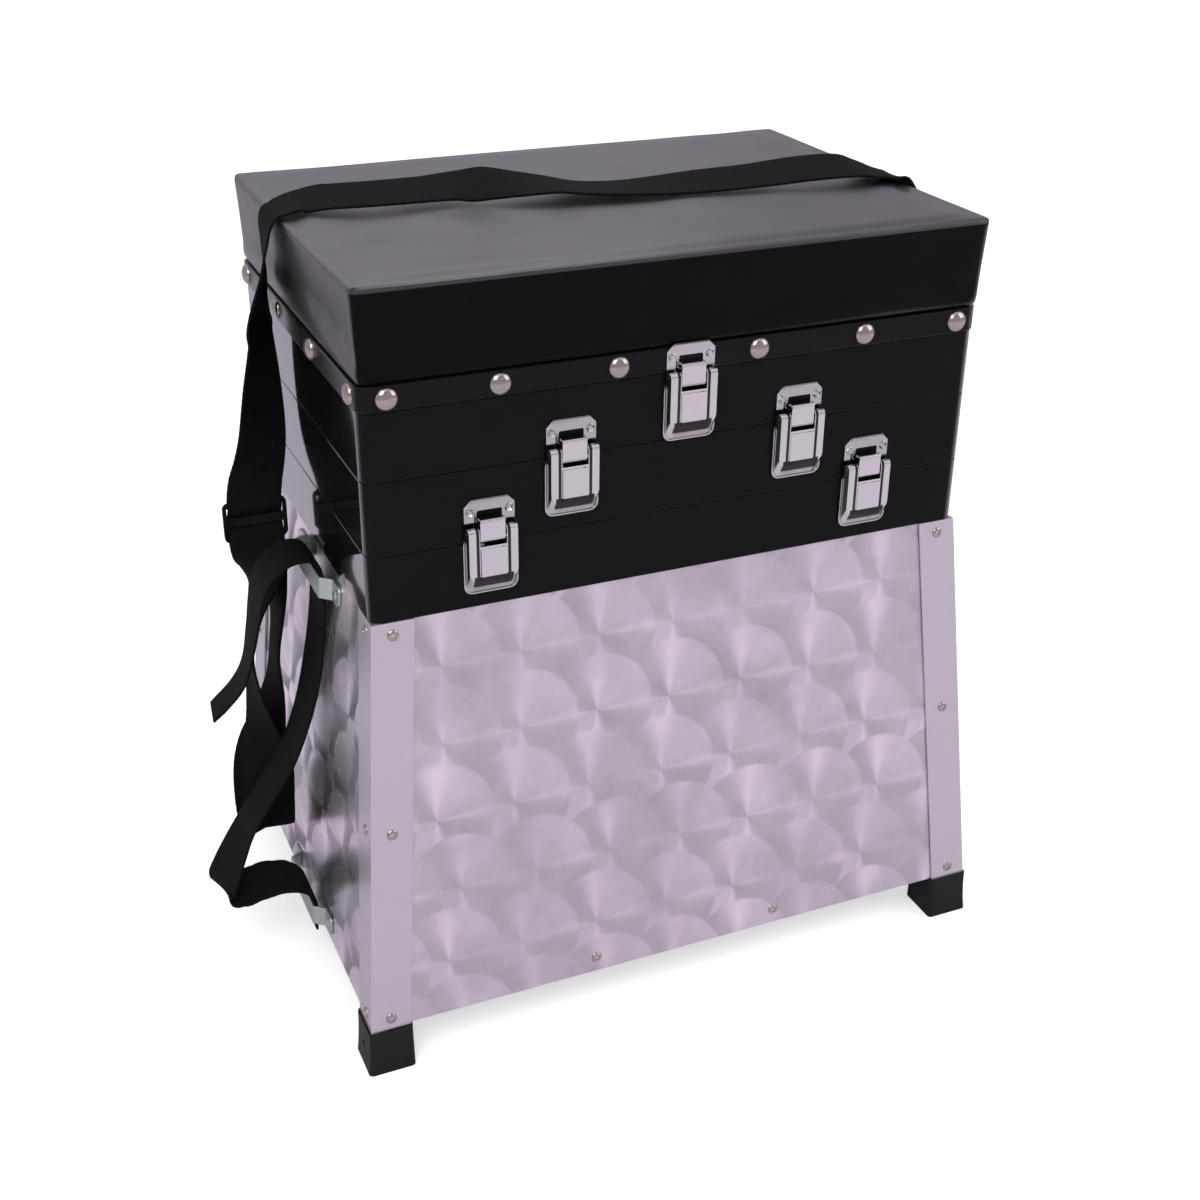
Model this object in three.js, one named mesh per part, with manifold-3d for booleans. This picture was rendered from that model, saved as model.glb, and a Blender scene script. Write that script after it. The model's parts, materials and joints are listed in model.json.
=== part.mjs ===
// Fishing seat box: an engine-turned aluminium body on four rubber feet, with a black section,
// two hinged trays and a cushioned lid stacked on it, held shut by five toggle latches.
// Millimetres, +Z up, +X right along the front, the front faces -Y.
// The origin is at the middle of the footprint, on the floor.

import * as THREE from 'three';
import { mergeVertices } from 'three/addons/utils/BufferGeometryUtils.js';
import Module from 'manifold-3d';

const wasm = await Module();
wasm.setup();

// Driving dimensions of the stack
const boxWidth = 450;
const boxDepth = 310;
const bodyFootWidth = 503;
const bodyFootDepth = 375;
const footHeight = 36;
const bodyHeight = 310;
const baseSectionHeight = 47.5;
const lowerTrayHeight = 51.5;
const upperTrayHeight = 47;
const lidBoardHeight = 17;
const cushionHeight = 63;

// Fits shared by all pieces
const restGap = 0.3;
const runningGap = 0.3;
const cutOverrun = 5;
const weldDistance = 0.0001;

// Body sheet metal
const angleLeg = 30;
const angleThickness = 1.6;
const panelThickness = 1.5;
const floorThickness = 1.5;
const floorRise = 3;
const floorFlange = 20;
const panelRivetOffset = 75;
const angleRivetInsetFront = 15;
const angleRivetInsetSide = 13;
const angleRivetEndInset = 9;
const popRivetRadius = 3.8;
const popRivetHeight = 1.4;
const popRivetHole = 1.3;
const rivetSeat = 0.4;

// Rubber feet
const footTopSide = 33;
const footLip = 1.75;
const footFlare = 2.2;
const footSocketFloor = 22;
const footCornerRadius = 3;
const footPinRadius = 2;
const footPinDepth = 3;
const footPinHeight = 17;
const footFacets = 3;

// Black sections, trays and lid
const sectionWall = 3;
const sectionCorner = 10;
const trayFloor = 3;
const sectionLedge = 3;
const skirtHeight = 18;
const skirtWall = 2;
const bandThickness = 0.8;
const lidOverhang = 1;
const domeRadius = 7.5;
const domeHeight = 4;
const domeFrontShares = [0.1133, 0.2949, 0.46];
const domeSideShares = [0.15, 0.4465];
const domeRearShares = [0.46];

// Cushion
const cushionFootInset = 1.3;
const cushionTopWidth = 455;
const cushionTopDepth = 316;
const cushionCorner = 5;
const cushionEdgeRadius = 7;
const cushionWaist = 2.2;
const cushionCrown = 1.6;
const cushionSideCurveSteps = 7;
const cushionCornerFacets = 3;

// Hinges along the rear
const hingeEndInset = 32;
const hingeLength = boxWidth - 2 * hingeEndInset;
const hingeKnuckles = 9;
const hingeKnuckleRadius = 3;
const hingePinRadius = 1.3;
const hingeAxisOut = 5;
const hingeLeafHeight = 13;
const hingeLeafThickness = 1.2;
const hingeLeafClearance = 3.4;

// Toggle latches, measured from the wall and from the lever's axle, which sits at its rise above a seam
const latchAxleRises = { lid: -2.3, upper: 3.9, lower: 8.8 };
const upperLatchSpacing = 169;
const lowerLatchSpacing = 284;
const sheet = 0.8;
const axleOut = 5;
const axleRadius = 1.05;
const leverWidth = 35.5;
const leverLength = 43;
const leverBack = 1.6;
const shoulderRadius = 3.4;
const leverRim = 1.2;
const leverCorner = 6;
const leverSlotHalf = 9.3;
const leverSlotEnd = 9.2;
const leverBevel = 9;
const leverTaper = 0.8;
const bossHalf = 9.6;
const bossTop = 10.3;
const bossBottom = 33;
const bossHeight = 1;
const bossBevel = 0.7;
const hookPivotDrop = 5;
const hookWidth = 17.3;
const hookBarrel = 2.6;
const hookTop = 9.4;
const hookBar = 1;
const hookRoll = 1.2;
const clawOut = 2.45;
const clawDip = 0.9;
const lipOut = 4.95;
const lipTop = 8;
const lipFoot = 4.3;
const lipHalf = 8.2;
const catchWidth = 35;
const catchBottom = 2.8;
const catchTop = 21.8;
const catchChamfer = 5;
const catchRollHalf = 13;
const catchRollRadius = 1.2;
const catchWindowHalf = 8.7;
const catchWindowTop = 13.6;
const latchRivetPlace = 13.6;
const latchRivetHeight = 13;
const latchRivetRadius = 3.4;
const latchRivetHole = 1.5;
const latchRivetProud = 1.2;
const basePlateWidth = 38;
const basePlateBottom = 45.4;
const basePlateTop = 4;
const basePlateRim = 2;
const basePlateCorner = 6;
const earOuter = 16.2;
const earThickness = 1;
const earRadius = 2.2;
const earFoot = 15;
const earHeel = 5;
const baseRivetPlaces = [20, 34];
const baseRivetRadius = 3;
const baseRivetHeight = 1;

// Strap brackets on the side panels
const bracketLength = 112;
const bracketBarHalf = 34;
const bracketRamp = 6;
const bracketProud = 10;
const bracketThickness = 1.8;
const bracketHeight = 16;
const bracketY = -22;
const bracketHeights = { upper: 329, lower: 50 };
const bracketRivetInset = 8;
const bracketRivetRadius = 4;
const bracketRivetHeight = 2;

// Webbing and sliders
const strapWidth = 40;
const strapThickness = 2;
const strapSteps = 2;
const sliderWidth = 47;
const sliderHeight = 32;
const sliderThickness = 2.4;
const sliderCorner = 5;
const sliderEndBar = 4.5;
const sliderMiddleBar = 7;
const sliderSide = 3;
const sliderPlace = { x: -258.5, y: 27, z: 351 };
const strapOffSlider = sliderThickness / 2 + restGap + strapThickness / 2;
const layerGap = 0.4;
const rightLoopShift = -70;
const rightSideStrapShift = 25.5;

// Facet counts
const arcFacets = 5;
const curveFacets = 3;
const domeFacets = 12;
const hingeFacets = 10;
const rivetFacets = 8;

// Heights that follow from the stack
const bodyTop = footHeight + bodyHeight;
const baseSectionTop = bodyTop + baseSectionHeight;
const lowerTrayTop = baseSectionTop + lowerTrayHeight;
const upperTrayTop = lowerTrayTop + upperTrayHeight;
const latchAxleHeights = {
  lid: upperTrayTop + latchAxleRises.lid,
  upper: lowerTrayTop + latchAxleRises.upper,
  lower: baseSectionTop + latchAxleRises.lower,
};
const lidBoardTop = upperTrayTop + lidBoardHeight;
const cushionTop = lidBoardTop + cushionHeight;

// Half sizes of the leaning metal body at a height
function halfWidthAt(z) {
  return boxWidth / 2 + (bodyFootWidth - boxWidth) / 2 * (bodyTop - z) / bodyHeight;
}

function halfDepthAt(z) {
  return boxDepth / 2 + (bodyFootDepth - boxDepth) / 2 * (bodyTop - z) / bodyHeight;
}

// Solid modelling helpers

function solidOf(geometry) {
  const bare = geometry.clone();
  bare.deleteAttribute('normal');
  bare.deleteAttribute('uv');
  const merged = mergeVertices(bare, weldDistance);
  const points = pointsOf(merged);
  let faces = [];
  for (let i = 0; i < merged.index.count; i += 3) {
    faces.push([0, 1, 2].map((k) => merged.index.getX(i + k)));
  }
  faces = faces.filter(([a, b, c]) => a !== b && b !== c && c !== a);
  if (signedVolume(points, faces) < 0) faces = faces.map(([a, b, c]) => [a, c, b]);
  return new wasm.Manifold(new wasm.Mesh({
    numProp: 3,
    vertProperties: new Float32Array(merged.attributes.position.array),
    triVerts: new Uint32Array(faces.flat()),
  }));
}

function pointsOf(geometry) {
  const { position } = geometry.attributes;
  return Array.from({ length: position.count }, (_, i) => new THREE.Vector3().fromBufferAttribute(position, i));
}

function signedVolume(points, faces) {
  return faces.reduce((sum, [a, b, c]) => (
    sum + points[a].dot(new THREE.Vector3().crossVectors(points[b], points[c])) / 6
  ), 0);
}

function geometryOf(solid) {
  const mesh = solid.getMesh();
  const geometry = new THREE.BufferGeometry();
  geometry.setAttribute('position', new THREE.BufferAttribute(mesh.vertProperties, 3));
  geometry.setIndex(new THREE.BufferAttribute(mesh.triVerts, 1));
  geometry.computeVertexNormals();
  return geometry;
}

function join(...geometries) {
  return geometryOf(geometries.map(solidOf).reduce((all, next) => all.add(next)));
}

function cut(geometry, ...tools) {
  return geometryOf(tools.map(solidOf).reduce((rest, tool) => rest.subtract(tool), solidOf(geometry)));
}

function common(first, second) {
  return geometryOf(solidOf(first).intersect(solidOf(second)));
}

function turned(geometry, xAxis, yAxis, place = new THREE.Vector3()) {
  const zAxis = new THREE.Vector3().crossVectors(xAxis, yAxis);
  const frame = new THREE.Matrix4().makeBasis(xAxis, yAxis, zAxis).setPosition(place);
  return geometry.clone().applyMatrix4(frame);
}

const alongX = new THREE.Vector3(1, 0, 0);
const alongY = new THREE.Vector3(0, 1, 0);
const alongZ = new THREE.Vector3(0, 0, 1);
const outFront = new THREE.Vector3(0, -1, 0);

// A plan outline in X and Y, raised from one height to another
function raised(shape, from, to) {
  const geometry = new THREE.ExtrudeGeometry(shape, {
    depth: to - from, bevelEnabled: false, curveSegments: curveFacets,
  });
  return geometry.translate(0, 0, from);
}

// A front outline in X and Z, thickened away from the front wall
function platedOut(shape, from, to) {
  return turned(raised(shape, from, to), alongX, alongZ);
}

// A side outline in distance from the wall and Z, drawn across from one X to another
function drawnAcross(shape, from, to) {
  return turned(raised(shape, -to, -from), outFront, alongZ);
}

function box(x0, x1, y0, y1, z0, z1) {
  const geometry = new THREE.BoxGeometry(x1 - x0, y1 - y0, z1 - z0);
  return geometry.translate((x0 + x1) / 2, (y0 + y1) / 2, (z0 + z1) / 2);
}

// A rectangle whose four corners are cut square or rounded in facets
function rectangle(x0, x1, y0, y1, radius = 0, facets = arcFacets) {
  const steps = radius > 0 ? facets : 0;
  const centres = [
    [x1 - radius, y0 + radius], [x1 - radius, y1 - radius], [x0 + radius, y1 - radius],
    [x0 + radius, y0 + radius],
  ];
  const points = centres.flatMap(([x, y], quarter) => (
    Array.from({ length: steps + 1 }, (_, i) => {
      const angle = (quarter - 1 + (steps > 0 ? i / steps : 0)) * Math.PI / 2;
      return new THREE.Vector2(x + radius * Math.cos(angle), y + radius * Math.sin(angle));
    })
  ));
  return new THREE.Shape(points);
}

function centredRectangle(halfWidth, halfDepth, radius = 0, facets = arcFacets) {
  return rectangle(-halfWidth, halfWidth, -halfDepth, halfDepth, radius, facets);
}

// A rod along X
function rod(radius, from, to, y, z, facets = hingeFacets) {
  const geometry = new THREE.CylinderGeometry(radius, radius, to - from, facets);
  return geometry.rotateZ(Math.PI / 2).translate((from + to) / 2, y, z);
}

// A closed solid through rings with equal numbers of points; flat rings have both wide sides split alike
function loft(rings, flat = false) {
  const count = rings[0].length;
  const points = rings.flat();
  const faces = [];
  for (let level = 0; level + 1 < rings.length; level += 1) {
    for (let i = 0; i < count; i += 1) {
      const a = level * count + i;
      const b = level * count + (i + 1) % count;
      if (flat && i >= count / 2) faces.push([a, b, a + count], [b, b + count, a + count]);
      else faces.push([a, b, b + count], [a, b + count, a + count]);
    }
  }
  faces.push(...ringCap(rings[0], 0, true));
  faces.push(...ringCap(rings[rings.length - 1], points.length - count, false));
  return new THREE.BufferGeometry().setFromPoints(points).setIndex(faces.flat());
}

function ringCap(ring, offset, flipped) {
  const normal = new THREE.Vector3();
  ring.forEach((point, i) => {
    normal.add(new THREE.Vector3().crossVectors(point, ring[(i + 1) % ring.length]));
  });
  const across = ring[1].clone().sub(ring[0]).normalize();
  const up = new THREE.Vector3().crossVectors(normal.normalize(), across);
  const flat = ring.map((point) => new THREE.Vector2(point.dot(across), point.dot(up)));
  return THREE.ShapeUtils.triangulateShape(flat, []).map(([a, b, c]) => (
    flipped ? [offset + a, offset + c, offset + b] : [offset + a, offset + b, offset + c]
  ));
}

function outlineAt(shape, z) {
  return shape.getPoints(1).map((point) => new THREE.Vector3(point.x, point.y, z));
}

// Rivet heads, standing on +Z at the origin and sunk a little into what carries them

function lathe(profile, facets) {
  const points = profile.map(([radius, height]) => new THREE.Vector2(radius, height));
  return new THREE.LatheGeometry(points, facets).rotateX(Math.PI / 2);
}

function hollowRivet(radius, height, hole) {
  return lathe([
    [0, -rivetSeat], [radius, -rivetSeat], [radius * 0.72, height], [hole, height * 0.2],
    [0, height * 0.2],
  ], rivetFacets);
}

function domedRivet(radius, height, facets = rivetFacets) {
  const arc = [0, 0.4, 0.72, 1].map((share) => {
    const angle = share * Math.PI / 2;
    return [radius * Math.cos(angle), height * Math.sin(angle)];
  });
  arc[3][0] = 0;
  return lathe([[0, -rivetSeat], [radius, -rivetSeat], ...arc], facets);
}

// Leaning walls of the metal body: a place and its outward frame

const sideNames = { front: -1, rear: 1, left: -1, right: 1 };

function wallFrame(side, across, z) {
  const sign = sideNames[side];
  if (side === 'front' || side === 'rear') {
    const lean = Math.atan2((bodyFootDepth - boxDepth) / 2, bodyHeight);
    return {
      place: new THREE.Vector3(across, sign * halfDepthAt(z), z),
      out: new THREE.Vector3(0, sign * Math.cos(lean), Math.sin(lean)),
      along: new THREE.Vector3(-sign, 0, 0),
    };
  }
  const lean = Math.atan2((bodyFootWidth - boxWidth) / 2, bodyHeight);
  return {
    place: new THREE.Vector3(sign * halfWidthAt(z), across, z),
    out: new THREE.Vector3(sign * Math.cos(lean), 0, Math.sin(lean)),
    along: new THREE.Vector3(0, sign, 0),
  };
}

function onWall(geometry, side, across, z, depth = 0) {
  const { place, out, along } = wallFrame(side, across, z);
  const up = new THREE.Vector3().crossVectors(out, along);
  return turned(geometry, along, up, place.addScaledVector(out, -depth));
}

// Materials

function metal(colour, roughness) {
  return () => new THREE.MeshStandardMaterial({ color: colour, metalness: 1, roughness });
}

function plain(colour, roughness) {
  return () => new THREE.MeshStandardMaterial({ color: colour, metalness: 0, roughness });
}

const swirledAluminium = metal(0xb9b0bc, 0.35);
const plainAluminium = metal(0xc4bcc8, 0.3);
const blackGloss = plain(0x1c1c1e, 0.12);
const blackRubber = plain(0x1a1a1c, 0.75);
const leatherette = plain(0x1b1a1c, 0.42);
const chrome = metal(0xd8d4da, 0.08);
const nickel = metal(0xcfc3c4, 0.15);
const zinc = metal(0xa9b3b8, 0.3);
const webbing = plain(0x161617, 0.85);
const blackPlastic = plain(0x18181a, 0.35);

function piece(group, name, geometry, material) {
  const mesh = new THREE.Mesh(geometryOf(solidOf(geometry)), material());
  mesh.name = name;
  group.add(mesh);
  return mesh;
}

// Aluminium body

function angleRing(cornerX, cornerY, z, thickness, leg, proud) {
  const x = halfWidthAt(Math.max(z, footHeight)) + proud;
  const y = halfDepthAt(Math.max(z, footHeight)) + proud;
  const inX = x - thickness - proud * 2;
  const inY = y - thickness - proud * 2;
  const endX = x - leg - proud * 2;
  const endY = y - leg - proud * 2;
  return [[x, y], [endX, y], [endX, inY], [inX, inY], [inX, endY], [x, endY]]
    .map(([px, py]) => new THREE.Vector3(cornerX * px, cornerY * py, z));
}

function cornerAngle(cornerX, cornerY) {
  const top = bodyTop - restGap;
  const rivet = hollowRivet(popRivetRadius, popRivetHeight, popRivetHole);
  const face = cornerY < 0 ? 'front' : 'rear';
  const flank = cornerX < 0 ? 'left' : 'right';
  const heights = [footHeight + angleRivetEndInset, footHeight + bodyHeight / 2, top - angleRivetEndInset];
  const rivets = heights.flatMap((z) => [
    onWall(rivet, face, cornerX * (halfWidthAt(z) - angleRivetInsetFront), z),
    onWall(rivet, flank, cornerY * (halfDepthAt(z) - angleRivetInsetSide), z),
  ]);
  const rings = [footSocketFloor + restGap, footHeight, top]
    .map((z) => angleRing(cornerX, cornerY, z, angleThickness, angleLeg, 0));
  return join(loft(rings), ...rivets);
}

function footRing(cornerX, cornerY, z) {
  const flare = footFlare * (1 - z / footHeight) ** 2;
  const outX = halfWidthAt(footHeight) + footLip + flare;
  const outY = halfDepthAt(footHeight) + footLip + flare;
  const side = footTopSide + flare;
  const ring = outlineAt(
    rectangle(outX - side, outX, outY - side, outY, footCornerRadius, footFacets), z,
  );
  return ring.map((point) => new THREE.Vector3(cornerX * point.x, cornerY * point.y, z));
}

function rubberFoot(cornerX, cornerY) {
  const levelShares = [0, 0.3, 0.65, 1];
  const block = loft(levelShares.map((share) => footRing(cornerX, cornerY, share * footHeight)));
  const socket = loft([footSocketFloor, footHeight, footHeight + cutOverrun]
    .map((z) => angleRing(cornerX, cornerY, z, angleThickness, angleLeg, restGap)));
  const outX = halfWidthAt(footHeight) + footLip;
  const middleY = halfDepthAt(footHeight) + footLip - footTopSide / 2;
  const pinHole = rod(
    footPinRadius, cornerX < 0 ? -cutOverrun : -footPinDepth, cornerX < 0 ? footPinDepth : cutOverrun,
    0, 0, rivetFacets,
  );
  pinHole.translate(cornerX * outX, cornerY * middleY, footPinHeight);
  return cut(block, socket, pinHole);
}

// A flat sheet on a leaning wall, between two depths under the angles' outer face
function wallSheet(side, outer, inner, endClearance, bottom, top) {
  const sign = sideNames[side];
  const wide = side === 'front' || side === 'rear';
  const rings = [bottom, top].map((z) => {
    const out = (wide ? halfDepthAt(z) : halfWidthAt(z));
    const half = (wide ? halfWidthAt(z) : halfDepthAt(z)) - endClearance;
    return [[-half, out - outer], [half, out - outer], [half, out - inner], [-half, out - inner]]
      .map(([across, depth]) => (wide
        ? new THREE.Vector3(across, sign * depth, z)
        : new THREE.Vector3(sign * depth, across, z)));
  });
  return loft(rings);
}

const panelOuter = angleThickness + restGap;
const panelInner = panelOuter + panelThickness;

function bodyPanel(side) {
  const wide = side === 'front' || side === 'rear';
  const endClearance = wide ? panelOuter : panelInner + restGap;
  const sheetBody = wallSheet(
    side, panelOuter, panelInner, endClearance, footHeight + restGap, bodyTop - restGap,
  );
  if (!wide) return sheetBody;
  const rivet = hollowRivet(popRivetRadius, popRivetHeight, popRivetHole);
  const rivetZ = footHeight + floorRise + angleRivetEndInset;
  return join(sheetBody, ...[-panelRivetOffset, panelRivetOffset]
    .map((x) => onWall(rivet, side, x, rivetZ, panelOuter)));
}

function floorPan() {
  const edge = panelInner + restGap;
  const bottom = footHeight + floorRise;
  const top = bottom + floorFlange;
  const ringAt = (z, inset) => {
    const x = halfWidthAt(z) - edge - inset;
    const y = halfDepthAt(z) - edge - inset;
    return outlineAt(centredRectangle(x, y), z);
  };
  const outside = loft([ringAt(bottom, 0), ringAt(top, 0)]);
  const inside = loft([
    ringAt(bottom + floorThickness, floorThickness), ringAt(top + cutOverrun, floorThickness),
  ]);
  return cut(outside, inside);
}

// Black stack

function frameRing(outerX, outerY, wall, from, to, corner) {
  const inner = Math.max(corner - wall, wall / 2);
  return cut(
    raised(centredRectangle(outerX, outerY, corner), from, to),
    raised(centredRectangle(outerX - wall, outerY - wall, inner), from - cutOverrun, to + cutOverrun),
  );
}

function baseSection() {
  const bottom = bodyTop;
  const x = boxWidth / 2;
  const y = boxDepth / 2;
  const skirtIn = panelInner + restGap;
  const ledgeWall = skirtIn + skirtWall;
  return join(
    frameRing(x, y, sectionWall, bottom, baseSectionTop - restGap, sectionCorner),
    frameRing(x, y, ledgeWall, bottom, bottom + sectionLedge, sectionCorner),
    frameRing(x - skirtIn, y - skirtIn, skirtWall, bottom - skirtHeight, bottom + sectionLedge / 2,
      sectionCorner - skirtIn),
  );
}

function tray(bottom, top) {
  const x = boxWidth / 2;
  const y = boxDepth / 2;
  const inner = sectionCorner - sectionWall;
  return cut(
    raised(centredRectangle(x, y, sectionCorner), bottom, top - restGap),
    raised(centredRectangle(x - sectionWall, y - sectionWall, inner), bottom + trayFloor,
      top + cutOverrun),
  );
}

const bandOut = lidOverhang - bandThickness;

function lidBoard() {
  const shape = centredRectangle(boxWidth / 2 + bandOut - restGap, boxDepth / 2 + bandOut - restGap,
    sectionCorner);
  return raised(shape, upperTrayTop, lidBoardTop - restGap);
}

function edgingBand() {
  const x = boxWidth / 2 + lidOverhang;
  const y = boxDepth / 2 + lidOverhang;
  const band = frameRing(x, y, bandThickness, upperTrayTop, lidBoardTop, sectionCorner + lidOverhang);
  const middle = (upperTrayTop + lidBoardTop) / 2;
  const rivet = domedRivet(domeRadius, domeHeight, domeFacets);
  const mirrored = (shares, span) => shares.flatMap((share) => [-share * span, share * span]);
  const studs = [
    ...mirrored(domeFrontShares, boxWidth).map((px) => turned(rivet, alongX, alongZ, new THREE.Vector3(px, -y, middle))),
    ...mirrored(domeRearShares, boxWidth).map((px) => (
      turned(rivet, alongX.clone().negate(), alongZ, new THREE.Vector3(px, y, middle)))),
    ...mirrored(domeSideShares, boxDepth).flatMap((py) => [
      turned(rivet, outFront, alongZ, new THREE.Vector3(-x, py, middle)),
      turned(rivet, alongY, alongZ, new THREE.Vector3(x, py, middle)),
    ]),
  ];
  return join(band, ...studs);
}

// The cushion: upright sides drawn in at the waist and along their length, a rounded edge and a crown
function cushionRing(halfX, halfY, z, waist) {
  const ring = outlineAt(centredRectangle(halfX, halfY, cushionCorner, cushionCornerFacets), z);
  const perCorner = cushionCornerFacets + 1;
  return ring.flatMap((point, i) => {
    if ((i + 1) % perCorner !== 0) return [point];
    const next = ring[(i + 1) % ring.length];
    const alongSide = next.clone().sub(point);
    const inward = new THREE.Vector3(-alongSide.y, alongSide.x, 0).normalize();
    return Array.from({ length: cushionSideCurveSteps }, (_, step) => {
      const share = step / cushionSideCurveSteps;
      return point.clone().addScaledVector(alongSide, share)
        .addScaledVector(inward, waist * Math.sin(Math.PI * share));
    });
  });
}

function cushion() {
  const bottom = lidBoardTop + restGap;
  const footX = boxWidth / 2 + lidOverhang - cushionFootInset;
  const footY = boxDepth / 2 + lidOverhang - cushionFootInset;
  const topX = cushionTopWidth / 2;
  const topY = cushionTopDepth / 2;
  const sideTop = cushionTop - cushionCrown - cushionEdgeRadius;
  const sideShares = [0, 0.12, 0.35, 0.6, 0.82, 1];
  const rings = sideShares.map((share) => {
    const spread = share * share;
    const z = bottom + (sideTop - bottom) * share;
    const waist = cushionWaist * Math.sin(Math.PI * Math.min(share * 0.9 + 0.1, 1));
    return cushionRing(footX + (topX - footX) * spread, footY + (topY - footY) * spread, z, waist);
  });
  const edgeShares = [0.35, 0.7, 1];
  edgeShares.forEach((share) => {
    const inset = cushionEdgeRadius * (1 - Math.cos(share * Math.PI / 2));
    const rise = cushionEdgeRadius * Math.sin(share * Math.PI / 2);
    rings.push(cushionRing(topX - inset, topY - inset, sideTop + rise, 0));
  });
  const crownShares = [0.75, 0.4, 0.08];
  crownShares.forEach((share) => {
    const halfX = (topX - cushionEdgeRadius) * share;
    const halfY = (topY - cushionEdgeRadius) * share;
    const z = cushionTop - cushionCrown * share * share;
    rings.push(cushionRing(halfX, halfY, z, 0));
  });
  return loft(rings);
}

// Hinges: one leaf on each section, knuckles in turn along one pin

const hingeY = boxDepth / 2 + hingeAxisOut;

function hingeLeaf(axisZ, faceY, rising, firstKnuckle, carriesPin) {
  const half = hingeLength / 2;
  const y0 = faceY + restGap;
  const y1 = y0 + hingeLeafThickness;
  const near = rising ? axisZ + hingeLeafClearance : axisZ - hingeLeafClearance;
  const far = rising ? near + hingeLeafHeight : near - hingeLeafHeight;
  const plate = box(-half, half, y0, y1, Math.min(near, far), Math.max(near, far));
  const pitch = hingeLength / hingeKnuckles;
  const pieces = [plate];
  const bores = [];
  for (let i = firstKnuckle; i < hingeKnuckles; i += 2) {
    const x0 = -half + i * pitch + runningGap / 2;
    const x1 = x0 + pitch - runningGap;
    const overlap = rising ? hingeLeafThickness : -hingeLeafThickness;
    const z0 = Math.min(axisZ, near + overlap);
    const z1 = Math.max(axisZ, near + overlap);
    pieces.push(rod(hingeKnuckleRadius, x0, x1, hingeY, axisZ));
    pieces.push(box(x0, x1, y0, Math.max(y1, hingeY - hingeKnuckleRadius / 2), z0, z1));
    bores.push(rod(hingePinRadius + runningGap, x0 - cutOverrun / 10, x1 + cutOverrun / 10, hingeY, axisZ));
  }
  if (carriesPin) return join(...pieces, rod(hingePinRadius, -half, half, hingeY, axisZ));
  return cut(join(...pieces), ...bores);
}

// Toggle latch: catch plate, base plate, lever and hook.
// Each is built round the lever's axle height, with the wall at Y zero and the latch standing out to -Y.

function leverOutline(inset, bevelled, top) {
  const half = leverWidth / 2 - inset - (bevelled ? leverTaper : 0);
  const bottom = -leverLength + inset + (bevelled ? leverBevel : 0);
  return rectangle(-half, half, bottom, top, leverCorner - inset);
}

function leverRings(inset, back, front, top) {
  const plan = [[back, false], [leverBack + leverRim, false], [front, true]];
  return plan.map(([out, bevelled]) => outlineAt(leverOutline(inset, bevelled, top), 0)
    .map((point) => new THREE.Vector3(point.x, -out, point.y)));
}

// Everything below the axle, and a round top about it; open behind if asked
function shoulderProfile(radius, openBehind) {
  const deep = -leverLength - cutOverrun;
  const shape = new THREE.Shape();
  shape.moveTo(axleOut + radius, deep).lineTo(axleOut + radius, 0);
  if (openBehind) {
    shape.absarc(axleOut, 0, radius, 0, Math.PI / 2);
    shape.lineTo(axleOut, shoulderRadius + cutOverrun).lineTo(-cutOverrun, shoulderRadius + cutOverrun);
    shape.lineTo(-cutOverrun, deep);
  } else {
    shape.absarc(axleOut, 0, radius, 0, Math.PI);
    shape.lineTo(axleOut - radius, deep);
  }
  return shape;
}

function latchLever() {
  const front = axleOut + shoulderRadius;
  const top = shoulderRadius + cutOverrun;
  const half = leverWidth / 2;
  const outside = common(
    loft(leverRings(0, leverBack, front, top)),
    drawnAcross(shoulderProfile(shoulderRadius, false), -leverWidth, leverWidth),
  );
  const hollow = common(
    loft(leverRings(sheet, leverBack - sheet, front - sheet, top + sheet)),
    drawnAcross(shoulderProfile(shoulderRadius - sheet, true), -leverWidth, leverWidth),
  );
  const slot = box(-leverSlotHalf, leverSlotHalf, -front - cutOverrun, cutOverrun, -leverSlotEnd, top);
  const cheekShape = new THREE.Shape();
  cheekShape.moveTo(axleOut - hookBarrel + sheet, -leverSlotEnd).lineTo(front - sheet / 2, -leverSlotEnd);
  cheekShape.lineTo(front - sheet / 2, -shoulderRadius / 2).lineTo(axleOut, -shoulderRadius / 2);
  cheekShape.lineTo(axleOut - hookBarrel + sheet, -hookPivotDrop + hookBarrel).closePath();
  const cheeks = [-1, 1].map((side) => {
    const edge = side * leverSlotHalf;
    return drawnAcross(cheekShape, Math.min(edge, edge + side * sheet), Math.max(edge, edge + side * sheet));
  });
  const bossFoot = outlineAt(rectangle(-bossHalf, bossHalf, -bossBottom, -bossTop), 0)
    .map((point) => new THREE.Vector3(point.x, -front + sheet / 2, point.y));
  const bossFace = outlineAt(rectangle(-bossHalf + bossBevel, bossHalf - bossBevel,
    -bossBottom + bossBevel, -bossTop - bossBevel), 0)
    .map((point) => new THREE.Vector3(point.x, -front - bossHeight, point.y));
  const shell = cut(outside, hollow, slot);
  return join(
    shell, ...cheeks, loft([bossFoot, bossFace]),
    rod(axleRadius, -half + sheet / 2, half - sheet / 2, -axleOut, 0, rivetFacets + 2),
    rod(axleRadius, -leverSlotHalf - sheet / 2, leverSlotHalf + sheet / 2, -axleOut, -hookPivotDrop,
      rivetFacets + 2),
  );
}

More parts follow.
